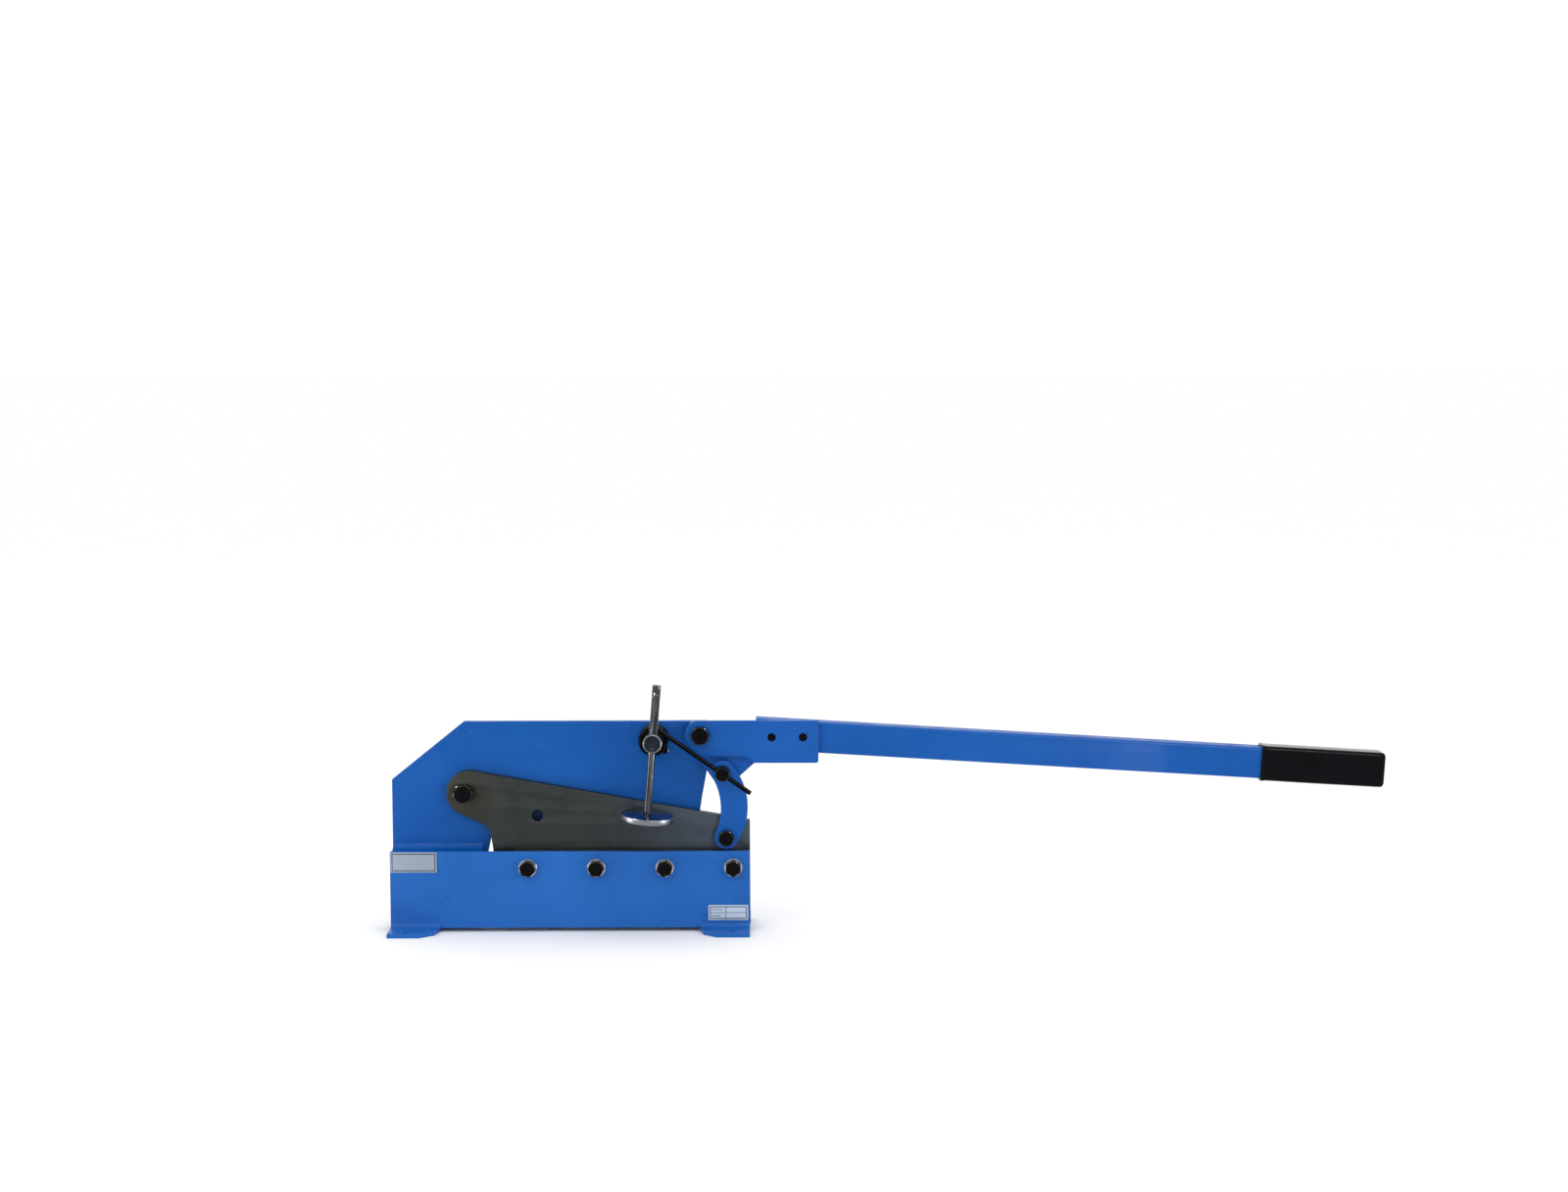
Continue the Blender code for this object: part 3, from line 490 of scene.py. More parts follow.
def zinc(name, color=(0.42, 0.43, 0.46), low=0.14, high=0.30, stretch=None, dark=None, drawn=None,
         grain=0.08):
    look = Look(name, color, 0.25, 1.0)
    tone = look.mix(look.ramp(look.noise(60.0, 4.0, 0.6), 0.3, 0.7), tuple(c * 0.78 for c in color), color)
    if drawn is not None:
        # Lines left along the rod by drawing it; drawn is the rod's tilt.
        lines = look.noise(330.0, 1.5, 0.5, (1.0, 1.0, 0.02), 0.0, drawn)
        tone = look.mix(look.ramp(lines, 0.38, 0.60), tuple(c * 0.22 for c in color), tone)
    dull = look.ramp(look.noise(150.0, 5.0, 0.7), 0.58, 0.75)
    tone = look.mix(look.math('MULTIPLY', dull, 0.45), tone, (0.18, 0.18, 0.18))
    if dark:
        low_z, high_z, shade = dark
        band = look.ramp(look.axis(2), low_z, high_z)
        tone = look.mix(look.math('MULTIPLY', band, 0.8), tone, shade)
    look.color(tone)
    look.rough(look.ramp(look.noise(80.0, 4.0, 0.6, stretch), 0.3, 0.7, low, high))
    look.bump(look.noise(300.0, 3.0, 0.6, stretch), grain, 0.0002)
    return look.mat


def rubber(name):
    look = Look(name, (0.012, 0.012, 0.015), 0.36, 0.0)
    tone = look.mix(look.ramp(look.noise(20.0, 4.0, 0.6), 0.3, 0.7), (0.0012, 0.0012, 0.0025), (0.0030, 0.0030, 0.0050))
    dust = look.ramp(look.noise(70.0, 6.0, 0.75), 0.60, 0.82)
    look.color(look.mix(look.math('MULTIPLY', dust, 0.15), tone, (0.03, 0.03, 0.035)))
    look.rough(look.ramp(look.noise(60.0, 4.0, 0.6), 0.3, 0.7, 0.26, 0.42))
    grain = look.math('ADD', look.noise(1100.0, 2.0, 0.5), look.math('MULTIPLY', look.noise(90.0, 2.0), 0.8))
    look.bump(grain, 0.14, 0.0003)
    look.bsdf.inputs["Specular IOR Level"].default_value = 0.06
    # Gloss that shows only at a flat angle.
    edge = look.tree.nodes.new("ShaderNodeLayerWeight")
    edge.inputs["Blend"].default_value = 0.5
    look.link(look.ramp(edge.outputs["Facing"], 0.45, 0.90, 0.0, 0.8), look.bsdf.inputs["Coat Weight"])
    look.bsdf.inputs["Coat Roughness"].default_value = 0.20
    look.bsdf.inputs["Coat IOR"].default_value = 1.45
    return look.mat


def bronze(name):
    look = Look(name, (0.45, 0.27, 0.11), 0.35, 1.0)
    look.color(look.mix(look.noise(90.0, 4.0), (0.30, 0.17, 0.07), (0.50, 0.31, 0.13)))
    look.rough(look.ramp(look.noise(160.0, 3.0), 0.3, 0.7, 0.25, 0.45))
    return look.mat


def label(name, x0, x1, z0, z1, rules=(), paper_tone=1.0):
    """A pale blank plate with a thin dark border; rules are (x0, x1, z0, z1) lines, shop mm."""
    look = Look(name, (0.58, 0.56, 0.63), 0.35, 0.2)
    paper = look.mix(look.noise(160.0, 4.0, 0.6), tuple(c * paper_tone for c in (0.27, 0.32, 0.40)),
                     tuple(c * paper_tone for c in (0.34, 0.40, 0.49)))
    px, pz = look.axis(0), look.axis(2)

    def inside(a0, a1, b0, b1):
        lo, hi = world(a0, 0, b0), world(a1, 0, b1)
        terms = [look.math('GREATER_THAN', px, lo.x), look.math('LESS_THAN', px, hi.x),
                 look.math('GREATER_THAN', pz, lo.z), look.math('LESS_THAN', pz, hi.z)]
        out = terms[0]
        for t in terms[1:]:
            out = look.math('MULTIPLY', out, t)
        return out

    m, w = 1.7, 1.3
    ink = look.math('SUBTRACT', inside(x0 + m, x1 - m, z0 + m, z1 - m),
                    inside(x0 + m + w, x1 - m - w, z0 + m + w, z1 - m - w))
    for rule in rules:
        ink = look.math('MAXIMUM', ink, inside(*rule))
    look.color(look.mix(look.math('MULTIPLY', ink, 0.95), paper, (0.02, 0.03, 0.06)))
    look.rough(look.ramp(look.noise(90.0, 3.0), 0.3, 0.7, 0.28, 0.42))
    look.bump(look.noise(600.0, 2.0), 0.05, 0.0002)
    return look.mat


BLUE_FRONT = paint("blue_paint_front", (0.012, 0.108, 0.400), (0.017, 0.127, 0.462))
# The rear plate carries painted shade behind the upper blade's hole.
BLUE_REAR = paint("blue_paint_rear", (0.002, 0.077, 0.330), (0.005, 0.095, 0.388),
                  painted_shade_at=tuple(world(BLADE_HOLE[0], FRAME_Y0 - 5.0, BLADE_HOLE[1])))
BLUE_ARM = paint("blue_paint_lever", (0.004, 0.082, 0.350), (0.008, 0.098, 0.405))
# The upper blade carries painted shade along its lower edge.
BLADE = blade_steel("blade_steel", painted_shade_below=(0.100, 0.121),
                    stain=tuple(world(BLADE_PIVOT[0] - 4, 0, BLADE_PIVOT[1] - 3)),
                    cool_from=world(300.0, 0, 0).x)
BLADE_LOW = blade_steel("lower_blade_steel", tone=1.5)
OXIDE = oxide("black_oxide", (0.0014, 0.0014, 0.0018), 0.16, 0.30, 0.0, 0.045)
OXIDE_EDGE = oxide("black_oxide_edge", (0.0016, 0.0016, 0.0020), 0.06, 0.12, 0.0, 0.34)
OXIDE_SPRING = oxide("spring_black", (0.0012, 0.0012, 0.0016), 0.20, 0.30, 0.0, 0.035, 0.03)
ZINC = zinc("zinc_plate")
ZINC_PAD = zinc("zinc_pad", (0.20, 0.21, 0.235), 0.26, 0.36)
# Painted reflection: the pad's top face is zinc tinted blue for the blue plates it mirrors.
PAD_TOP_PAINTED_REFLECTION = zinc("pad_top_painted_reflection", (0.12, 0.17, 0.29), 0.20, 0.28, grain=0.015)
ZINC_ROD = zinc("zinc_rod", (0.095, 0.102, 0.112), 0.06, 0.12, (1.0, 1.0, 0.15),
                (0.292, 0.312, (0.06, 0.06, 0.06)), -ROD_TILT)
ZINC_POST = zinc("zinc_post", (0.30, 0.31, 0.33), 0.16, 0.30)
POST_FACE = zinc("post_face", (0.016, 0.020, 0.027), 0.35, 0.55)
RUBBER = rubber("black_rubber")
BRONZE = bronze("bush_bronze")
NAME = label("name_label", 0.8, 60.5, 77.7, 104.1, (), 0.88)
DATA = label("data_label", 409.5, 460.5, 14.6, 34.4,
             [(412, 430, 24.0, 24.8), (431.3, 432.1, 16.2, 32.8), (432, 458.4, 24.0, 24.8),
              (413.5, 427, 28.0, 29.0), (413.5, 425, 19.8, 20.8)], 1.5)


def piece(ob, body, nodes, mat):
    """Put a finished piece on its body, in place of its CAD nodes."""
    ob.data.materials.clear()
    ob.data.materials.append(mat)
    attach(ob, body)
    if isinstance(nodes, str):
        nodes = (nodes,)
    if nodes:
        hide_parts(*nodes)
    return ob


# ---------------------------------------------------------------- frame
def foot(face_y, out, thick, left):
    face_y -= out * 0.05
    thick -= 0.1
    back = face_y - out * thick
    cy, cz = face_y + out * FOOT_BEND, FOOT_BEND + thick
    loop = [(back, FOOT_JOIN + 2.0)]
    for i in range(15):
        a = 0.5 * math.pi * i / 14
        loop.append((cy - out * (FOOT_BEND + thick) * math.cos(a),
                     cz - (FOOT_BEND + thick) * math.sin(a)))
    tip = face_y + out * FOOT_REACH
    loop += [(tip, 0.0), (tip, thick)]
    for i in range(14, -1, -1):
        a = 0.5 * math.pi * i / 14
        loop.append((cy - out * FOOT_BEND * math.cos(a), cz - FOOT_BEND * math.sin(a)))
    loop.append((face_y, FOOT_JOIN + 2.0))
    x0, x1 = (0.05, FOOT_LEFT) if left else (FOOT_RIGHT, LENGTH - 0.05)
    ob = along_x("foot", loop, x0, x1, 0.5)
    inner, step = (FOOT_LEFT, -1.0) if left else (FOOT_RIGHT, 1.0)
    wedge = [(inner + step * -3.0, face_y + out * 2.0),
             (inner + step * 0.6, face_y + out * 2.0),
             (inner + step * 5.0, face_y + out * 22.0),
             (inner + step * 26.0, face_y + out * (FOOT_REACH + 3.0)),
             (inner + step * -3.0, face_y + out * (FOOT_REACH + 3.0))]
    at = world(0, 0, 0)
    tool = slab("wedge", wedge, [], 30.0, 0.0,
                Matrix(((1, 0, 0, at.x), (0, 1, 0, at.y), (0, 0, 1, 0), (0, 0, 0, 1))), 0)
    boolean(ob, tool, 'DIFFERENCE')
    hole = world(FOOT_HOLE_LEFT if left else FOOT_HOLE_RIGHT, face_y + out * FOOT_HOLE_OUT, 0)
    tool = turned("hole", [(0, -5), (6.3, -5), (6.3, 0), (5.5, 0.8), (5.5, thick - 0.8), (6.3, thick),
                           (6.3, thick + 5), (0, thick + 5)], Matrix.Translation(hole), 40)
    return boolean(ob, tool, 'DIFFERENCE')


frame_outline = [
    (0.0, FOOT_JOIN), (FOOT_LEFT - 2.0, FOOT_JOIN), (FOOT_LEFT - 2.0, SKIRT_Z),
    (FOOT_RIGHT + 2.0, SKIRT_Z), (FOOT_RIGHT + 2.0, FOOT_JOIN), (LENGTH, FOOT_JOIN),
    (LENGTH, BEAM_Z), (122.6, BEAM_Z), (127.1, 116.0), (130.1, 122.0), (135.5, 124.6),
    (398.0, 150.0), (401.5, 172.0), (416.8, 254.0), (404.0, FRAME_TOP), (93.7, FRAME_TOP), (0.0, 193.6),
]
frame_plate = plate("rear_plate", soften(frame_outline, {8: 4.0, 9: 3.0, 10: 3.0, 13: 3.0, 14: 3.0, 15: 2.0, 16: 2.0}),
                    [ring(BLADE_PIVOT, 8.35, 48), ring(LEVER_PIVOT, 8.35, 48), ring(POST, 8.35, 48),
                     ring(TAIL, 3.6, 24)], FRAME_Y0, FRAME_Y1, 0.9)
for at_left in (True, False):
    boolean(frame_plate, foot(FRAME_Y1, 1.0, FRAME_Y1 - FRAME_Y0, at_left), 'UNION', 'MANIFOLD')
piece(frame_plate, "frame", "frame_plate", BLUE_REAR)

front_outline = [
    (0.0, FOOT_JOIN), (FOOT_LEFT - 2.0, FOOT_JOIN), (FOOT_LEFT - 2.0, SKIRT_Z),
    (FOOT_RIGHT + 2.0, SKIRT_Z), (FOOT_RIGHT + 2.0, FOOT_JOIN), (LENGTH, FOOT_JOIN),
    (LENGTH, TABLE_Z), (0.0, TABLE_Z),
]
BOLT_X = [BOLT_X0 + BOLT_PITCH * i for i in range(4)]
front_plate = plate("skirt_plate", soften(front_outline, {6: 1.0, 7: 1.0}),
                    [ring((x, BOLT_Z), 6.35, 40) for x in BOLT_X], FRONT_Y0, FRONT_Y1, 0.8)
for at_left in (True, False):
    boolean(front_plate, foot(FRONT_Y0, -1.0, FRONT_Y1 - FRONT_Y0, at_left), 'UNION', 'MANIFOLD')
piece(front_plate, "frame", "front_plate", BLUE_FRONT)

piece(plate("ledge_block", [(0.0, 15.0), (118.0, 15.0), (118.0, 103.0), (0.0, 103.0)], [],
            FRONT_Y1 + 0.3, FRAME_Y0 - 0.3, 0.8), "frame", "spacer_left", BLUE_REAR)
piece(plate("end_block", [(425.0, 15.0), (LENGTH, 15.0), (LENGTH, 58.0), (425.0, 58.0)], [],
            FRONT_Y1 + 0.3, FRAME_Y0 - 0.3, 0.8), "frame", "spacer_right", BLUE_REAR)

# A weld bead: a hollow fillet section whose ripples run along its length.
WELD, weld_y, weld_z = 8.0, FRAME_Y0 - 0.3, 103.3
stations = []
for i in range(234):
    x = 0.5 + 116.5 * i / 233
    ripple = 0.32 * math.sin(2 * math.pi * x / 3.1 + 0.8 * math.sin(x * 0.21))
    ripple += 0.22 * math.sin(x * 0.37 + 1.1) + 0.12 * math.sin(x * 1.9)
    pts = [(weld_y, weld_z), (weld_y, weld_z + WELD - 0.3 + 0.5 * ripple)]
    for k in range(9):
        t = (k + 1) / 10
        a = -math.pi / 2 * t
        y = weld_y - WELD + WELD * math.cos(a)
        z = weld_z + WELD + WELD * math.sin(a)
        bulge = (0.55 + 0.55 * ripple) * math.sin(math.pi * t)
        pts.append((y - 0.7 * bulge, z + 0.7 * bulge))
    pts.append((weld_y - WELD + 0.3 - 0.5 * ripple, weld_z))
    stations.append([world(x, y, z) for y, z in pts])
piece(loft("ledge_weld", stations, 60.0), "frame", "spacer_weld", BLUE_REAR)

piece(plate("fixed_blade", [(LOWER_BLADE_X0, LOWER_BLADE_Z0), (LENGTH, LOWER_BLADE_Z0),
                            (LENGTH, TABLE_Z), (LOWER_BLADE_X0, TABLE_Z)],
            [ring((x, BOLT_Z), 6.35, 40) for x in BOLT_X], LOWER_Y0, LOWER_Y1, 0.25),
      "frame", "lower_blade", BLADE_LOW)
wf = FRONT_Y0 - 0.3
for i, x in enumerate(BOLT_X):
    shiny_edge(piece(bolt(f"blade_bolt_{i + 1}", (x, BOLT_Z), 19.0, wf - 9.8, wf - 2.3, 6.0,
                          LOWER_Y1 - 1.0, 0.26 * (i - 1), 10.0, 1.75), "frame",
                     f"lower_blade_bolt_{i + 1}", OXIDE), wf - 9.8)
    piece(washer(f"bolt_washer_{i + 1}", (x, BOLT_Z), 11.7, 6.4, wf - 2.0, wf), "frame",
          f"lower_blade_washer_{i + 1}", ZINC)
piece(plate("blank_name_plate", soften([(0.8, 77.7), (60.5, 77.7), (60.5, 104.1), (0.8, 104.1)],
                                       {i: 1.0 for i in range(4)}), [], FRONT_Y0 - 0.9, FRONT_Y0 - 0.3, 0.12, 1),
      "frame", "name_plate", NAME)
piece(plate("ruled_data_plate", soften([(409.5, 14.6), (460.5, 14.6), (460.5, 34.4), (409.5, 34.4)],
                                       {i: 1.0 for i in range(4)}), [], FRONT_Y0 - 0.9, FRONT_Y0 - 0.3, 0.12, 1),
      "frame", "data_plate", DATA)

# ---------------------------------------------------------------- upper blade
HEAD, HEAD_R = (100.8, 177.4), 29.0
upper_outline = [(463.0, 141.4), (463.0, 98.0), (131.8, 100.0), (130.8, 108.0),
                 (129.0, 120.0), (127.2, 127.5), (123.6, 133.6), (116.6, 138.4)]
tip = len(upper_outline)
upper_outline += ring(HEAD, HEAD_R, 49, math.radians(-112.0), math.radians(-168.0))
piece(plate("swinging_blade", soften(upper_outline, {3: 6.0, 4: 8.0, 5: 8.0, 6: 8.0, 7: 8.0}),
            [ring(BLADE_PIVOT, 10.8, 48), ring(BLADE_HOLE, 7.5, 48), ring(LINK_BOTTOM, 10.5, 48)],
            UPPER_Y0, UPPER_Y1, 0.45), "blade", "upper_blade", BLADE)
piece(washer("blade_bush", BLADE_PIVOT, 10.4, 8.35, UPPER_Y0 + 0.1, UPPER_Y1 - 0.1), "blade",
      "blade_pivot_bush", BRONZE)
shiny_edge(piece(bolt("blade_bolt_pivot", BLADE_PIVOT, 23.0, -10.2, -0.2, 8.0, 40.0, 0.18, 20.0),
                 "frame", "blade_pivot_bolt", OXIDE), -10.2)
piece(washer("blade_rear_washer", BLADE_PIVOT, 15.0, 8.35, 24.8, 27.3), "frame",
      "blade_pivot_washer", ZINC)
piece(hexagon("blade_rear_nut", BLADE_PIVOT, 24.0, 27.6, 38.6, 0.3, True, True, 8.3), "frame",
      "blade_pivot_nut", OXIDE)

# ---------------------------------------------------------------- lever
ARM_TOP, PLATE_TOP, REAR_TOP = 271.6, 270.0, 265.0


def hub_start(top):
    """Angle at which the round hub meets a straight upper edge."""
    return math.pi - math.asin((top - LEVER_PIVOT[1]) / HUB_R)


def arm_outline(top):
    start = hub_start(top)
    loop = ring(LEVER_PIVOT, HUB_R, 36, start, math.radians(235.0) - start)
    first = len(loop)
    loop += [(406.0, 225.4), (457.0, 225.4), (469.8, 217.0), (551.6, 216.8), (551.6, top)]
    return soften(loop, {0: 1.5, first: 2.0, first + 1: 1.5, first + 2: 1.5, first + 3: 4.0, first + 4: 1.0})


arm_holes = [ring(LEVER_PIVOT, 8.35, 48)] + [ring(p, PIN_R + 0.35, 40) for p in PIN_XZ]
piece(plate("front_arm", arm_outline(ARM_TOP), arm_holes, ARM_FRONT_Y0, ARM_FRONT_Y1, 0.6), "lever",
      "lever_arm_front", BLUE_ARM)
piece(plate("rear_arm", arm_outline(REAR_TOP), arm_holes, ARM_REAR_Y0, ARM_REAR_Y1, 0.6), "lever",
      "lever_arm_rear", BLUE_ARM)

LOBE_R = 16.4
dx, dz = LINK_TOP[0] - LEVER_PIVOT[0], LINK_TOP[1] - LEVER_PIVOT[1]
span = math.hypot(dx, dz)
normal = math.atan2(dz, dx) - math.acos((HUB_R - LOBE_R) / span)
hub_from = hub_start(PLATE_TOP)
lobe_loop = ring(LEVER_PIVOT, HUB_R, 33, hub_from, normal - hub_from + 2 * math.pi)
lobe_loop += ring(LINK_TOP, LOBE_R, 28, normal, math.radians(-72.0) - normal)
lobe_loop += [(446.0, 195.2), (470.3, 216.8), (478.0, 220.0), (490.0, 225.0), (490.0, 229.0),
              (466.0, 230.5), (466.0, PLATE_TOP)]
piece(plate("lobed_plate", lobe_loop, [ring(LEVER_PIVOT, 10.8, 48), ring(LINK_TOP, 6.35, 40)],
            UPPER_Y0, UPPER_Y1, 0.6), "lever", "lever_plate", BLUE_ARM)
piece(washer("lever_bush", LEVER_PIVOT, 10.4, 8.35, UPPER_Y0 + 0.1, UPPER_Y1 - 0.1), "lever",
      "lever_pivot_bush", BRONZE)
piece(washer("spacer_ring", LEVER_PIVOT, 14.0, 8.35, 24.9, 30.0), "lever", "lever_spacer_ring", ZINC)
shiny_edge(piece(bolt("lever_bolt", LEVER_PIVOT, 22.0, -18.0, -8.5, 8.0, 50.0, 0.1, 20.0), "frame",
                 "lever_pivot_bolt", OXIDE), -18.0)
piece(hexagon("lever_rear_nut", LEVER_PIVOT, 24.0, 38.7, 48.7, 0.1, True, True, 8.3), "frame",
      "lever_pivot_nut", OXIDE)

c, n = math.cos(TUBE_ANGLE), math.sin(TUBE_ANGLE)


def on_tube(s):
    """Local X, Y, Z become shop Y, the tube's height and its length at s."""
    at = world(TUBE_START[0] + s * c, TUBE_Y, TUBE_START[1] + s * n)
    return Matrix(((0, -n, c, at.x), (1, 0, 0, at.y), (0, c, n, at.z), (0, 0, 0, 1)))


def rounded_box(width, height, radius, steps=8):
    loop = []
    for sx, sy, start in ((1, 1, 0.0), (-1, 1, 90.0), (-1, -1, 180.0), (1, -1, 270.0)):
        centre = (sx * (0.5 * width - radius), sy * (0.5 * height - radius))
        loop += ring(centre, radius, steps + 1, math.radians(start), math.pi / 2)
    return loop


tube = slab("handle_tube", rounded_box(TUBE_W, TUBE_H, TUBE_R),
            [rounded_box(TUBE_W - 2 * TUBE_WALL, TUBE_H - 2 * TUBE_WALL, TUBE_R - TUBE_WALL + 0.5, 4)],
            0.5 * TUBE_LEN, 0.35, on_tube(0.5 * TUBE_LEN))
for pin in PIN_XZ:
    boolean(tube, turned("pin_tool", [(0, -6), (PIN_R + 0.35, -6), (PIN_R + 0.35, 42), (0, 42)],
                         axis_y(*pin), 40), 'DIFFERENCE')
piece(tube, "lever", "lever_tube", BLUE_ARM)
for i, pin in enumerate(PIN_XZ):
    y0, y1 = ARM_FRONT_Y0 + 0.6, ARM_REAR_Y1 - 0.6
    prof = [(0.0, y0 + 0.9), (1.2, y0 + 0.5), (1.5, y0), (4.1, y0), (4.7, y0 + 0.25), (PIN_R, y0 + 1.0),
            (PIN_R, y1 - 1.0), (4.7, y1 - 0.25), (4.1, y1), (1.5, y1), (1.2, y1 - 0.5), (0.0, y1 - 0.9)]
    piece(turned(f"dowel_pin_{i + 1}", prof, axis_y(*pin), 40), "lever", f"lever_pin_{i + 1}",
          OXIDE)


def grip_ring(s, width, height, radius):
    place = on_tube(s)
    return [place @ Vector((u * MM, v * MM, 0.0)) for u, v in rounded_box(width, height, radius, 7)]


stations = []
inner_w, inner_h = TUBE_W + 0.6, TUBE_H + 0.6
end = GRIP_FROM + GRIP_LEN
for s in (TUBE_LEN + 0.5, 760.0, 720.0, 680.0, GRIP_FROM + 1.0):
    stations.append(grip_ring(s, inner_w, inner_h, TUBE_R + 0.3))
stations.append(grip_ring(GRIP_FROM, inner_w + 1.2, inner_h + 1.2, TUBE_R + 0.6))
for s, grow in ((0.0, 0.3), (0.5, 0.9), (2.5, 1.1), (4.2, 0.8), (5.6, 0.0), (7.0, -0.1), (30.0, 0.0),
                (60.0, 0.15), (90.0, 0.1), (120.0, 0.0), (GRIP_LEN - 9.0, 0.0)):
    stations.append(grip_ring(GRIP_FROM + s, GRIP_W + grow, GRIP_H + grow, 5.0))
round_r = 5.5
for k in range(1, 8):
    a = 0.5 * math.pi * k / 7
    inset = 2 * round_r * (1 - math.cos(a))
    stations.append(grip_ring(end - round_r + round_r * math.sin(a), GRIP_W - inset, GRIP_H - inset,
                              max(5.0 - 0.5 * inset * 0.6, 1.6)))
piece(loft("hand_grip", stations, 50.0), "lever", "grip", RUBBER)

# ---------------------------------------------------------------- link
def link_outline():
    sag = 12.5
    cx, cz = LINK_BOTTOM[0] - LINK_TOP[0], LINK_BOTTOM[1] - LINK_TOP[1]
    chord = math.hypot(cx, cz)
    radius = (0.25 * chord * chord + sag * sag) / (2 * sag)
    ux, uz = cx / chord, cz / chord
    px, pz = -uz, ux
    mid = (0.5 * (LINK_TOP[0] + LINK_BOTTOM[0]), 0.5 * (LINK_TOP[1] + LINK_BOTTOM[1]))
    centre = (mid[0] - px * (radius - sag), mid[1] - pz * (radius - sag))
    half = math.asin(0.5 * chord / radius)
    base = math.atan2(pz, px)
    outer, inner = [], []
    for i in range(37):
        t = i / 36
        a = base + half - 2 * half * t
        w = 15.0 + 2.4 * math.sin(math.pi * t)
        outer.append((centre[0] + (radius + w) * math.cos(a), centre[1] + (radius + w) * math.sin(a)))
        inner.append((centre[0] + (radius - w) * math.cos(a), centre[1] + (radius - w) * math.sin(a)))
    low = ring(LINK_BOTTOM, 15.0, 30, base - half, -math.pi)
    high = ring(LINK_TOP, 15.0, 30, base + half + math.pi, -math.pi)
    return outer + low[1:-1] + inner[::-1] + high[1:-1]


piece(plate("curved_link", link_outline(), [ring(LINK_TOP, 6.35, 40), ring(LINK_BOTTOM, 5.35, 40)],
            LINK_Y0, LINK_Y1, 0.6), "link", "link_plate", BLUE_ARM)
shiny_edge(piece(bolt("link_lower_bolt", LINK_BOTTOM, 19.0, -19.7, -10.7, 5.0, 25.0, 0.2, 11.0, 1.5),
                 "link", "link_bolt", OXIDE), -19.7)
piece(washer("link_rear_washer", LINK_BOTTOM, 14.5, 5.4, 12.5, 14.5), "link", "link_washer", ZINC)
piece(hexagon("link_rear_nut", LINK_BOTTOM, 17.0, 14.8, 22.8, 0.2, True, True, 5.35), "link", "link_nut",
      OXIDE)

# ---------------------------------------------------------------- spring
anchor_dir = math.atan2(TAIL[1] - POST[1], TAIL[0] - POST[0])
anchor_dist = math.hypot(TAIL[0] - POST[0], TAIL[1] - POST[1])
a_start = anchor_dir - math.acos(COIL_R / anchor_dist)
back_y, coil_end_y = FRAME_Y0 - 0.35 - WIRE_R, LEG_Y + 2 * WIRE_R + 0.8
turns, count = 3.6, 180
coil = [(TAIL[0], FRAME_Y0 + 7.0, TAIL[1]), (TAIL[0], back_y + 2.9, TAIL[1]),
        (TAIL[0] - 0.6, back_y + 1.0, TAIL[1]), (TAIL[0] - 2.6, back_y, TAIL[1] + 0.1)]
for i in range(count + 1):
    t = i / count
    a = a_start - 2 * math.pi * turns * t
    coil.append((POST[0] + COIL_R * math.cos(a), back_y + (coil_end_y - back_y) * t,
                 POST[1] + COIL_R * math.sin(a)))
piece(wire("torsion_spring", coil, WIRE_R), "frame", "spring_coil", OXIDE_SPRING)

vx, vz = LINK_TOP[0] - POST[0], LINK_TOP[1] - POST[1]
reach = math.hypot(vx, vz)
leg_angle = math.atan2(vz, vx) - math.asin(COIL_R / reach)
leave = leg_angle + math.pi / 2
leg = []
for i in range(49):
    a = leave + math.radians(300.0) * (1 - i / 48)
    leg.append((POST[0] + COIL_R * math.cos(a), LEG_Y, POST[1] + COIL_R * math.sin(a)))
leg_len = math.sqrt(reach * reach - COIL_R * COIL_R) + 44.0
for k in range(1, 13):
    s = k / 12
    leg.append((POST[0] + COIL_R * math.cos(leave) + s * leg_len * math.cos(leg_angle), LEG_Y,
                POST[1] + COIL_R * math.sin(leave) + s * leg_len * math.sin(leg_angle)))
piece(wire("spring_long_leg", leg, WIRE_R), "spring_end", "spring_leg", OXIDE_SPRING)

eye = turned("drilled_stud", [(0, -30.5), (8.2, -30.5), (9.1, -29.9), (9.4, -29.0), (9.4, -12.0), (8.8, -11.1),
                              (7.6, -10.8), (6.0, -10.8), (6.0, 21.0), (5.0, 22.0), (0, 22.0)],
             axis_y(*LINK_TOP), 56)
direction = Vector((math.cos(leg_angle), 0, math.sin(leg_angle)))
side = direction.cross(Vector((0, 1, 0)))
at = world(LINK_TOP[0], LEG_Y, LINK_TOP[1])
drill = Matrix(((side.x, 0, direction.x, at.x), (side.y, 1, direction.y, at.y),
                (side.z, 0, direction.z, at.z), (0, 0, 0, 1)))
boolean(eye, turned("drill", [(0, -20), (4.0, -20), (4.0, 20), (0, 20)], drill, 36), 'DIFFERENCE')
shiny_edge(piece(eye, "eye", "spring_eye", OXIDE), -30.5)
piece(hexagon("stud_nut", LINK_TOP, 18.0, 12.5, 20.5, 0.4, True, True, 6.3), "eye", "spring_eye_nut",
      OXIDE)

# ---------------------------------------------------------------- hold-down
post_front, post_back = ROD_Y - 11.0, FRAME_Y0 - 0.3
post = turned("clamp_post", [(0, post_front + 0.25), (10.6, post_front + 0.25), (10.8, post_front), (11.2, post_front),
                             (12.0, post_front + 0.8), (12.0, post_back - 0.8), (11.2, post_back), (8.0, post_back)]
              + shank_profile(8.0, post_back, 48.0, 22.0)[1:], axis_y(*POST), 64)
sx, sz = math.sin(ROD_TILT), math.cos(ROD_TILT)


def on_rod():
    """Local Z runs up the hold-down's axis, with its zero at the post's axis."""
    at = world(POST[0], ROD_Y, POST[1])
    return Matrix(((sz, 0, sx, at.x), (0, 1, 0, at.y), (-sx, 0, sz, at.z), (0, 0, 0, 1)))


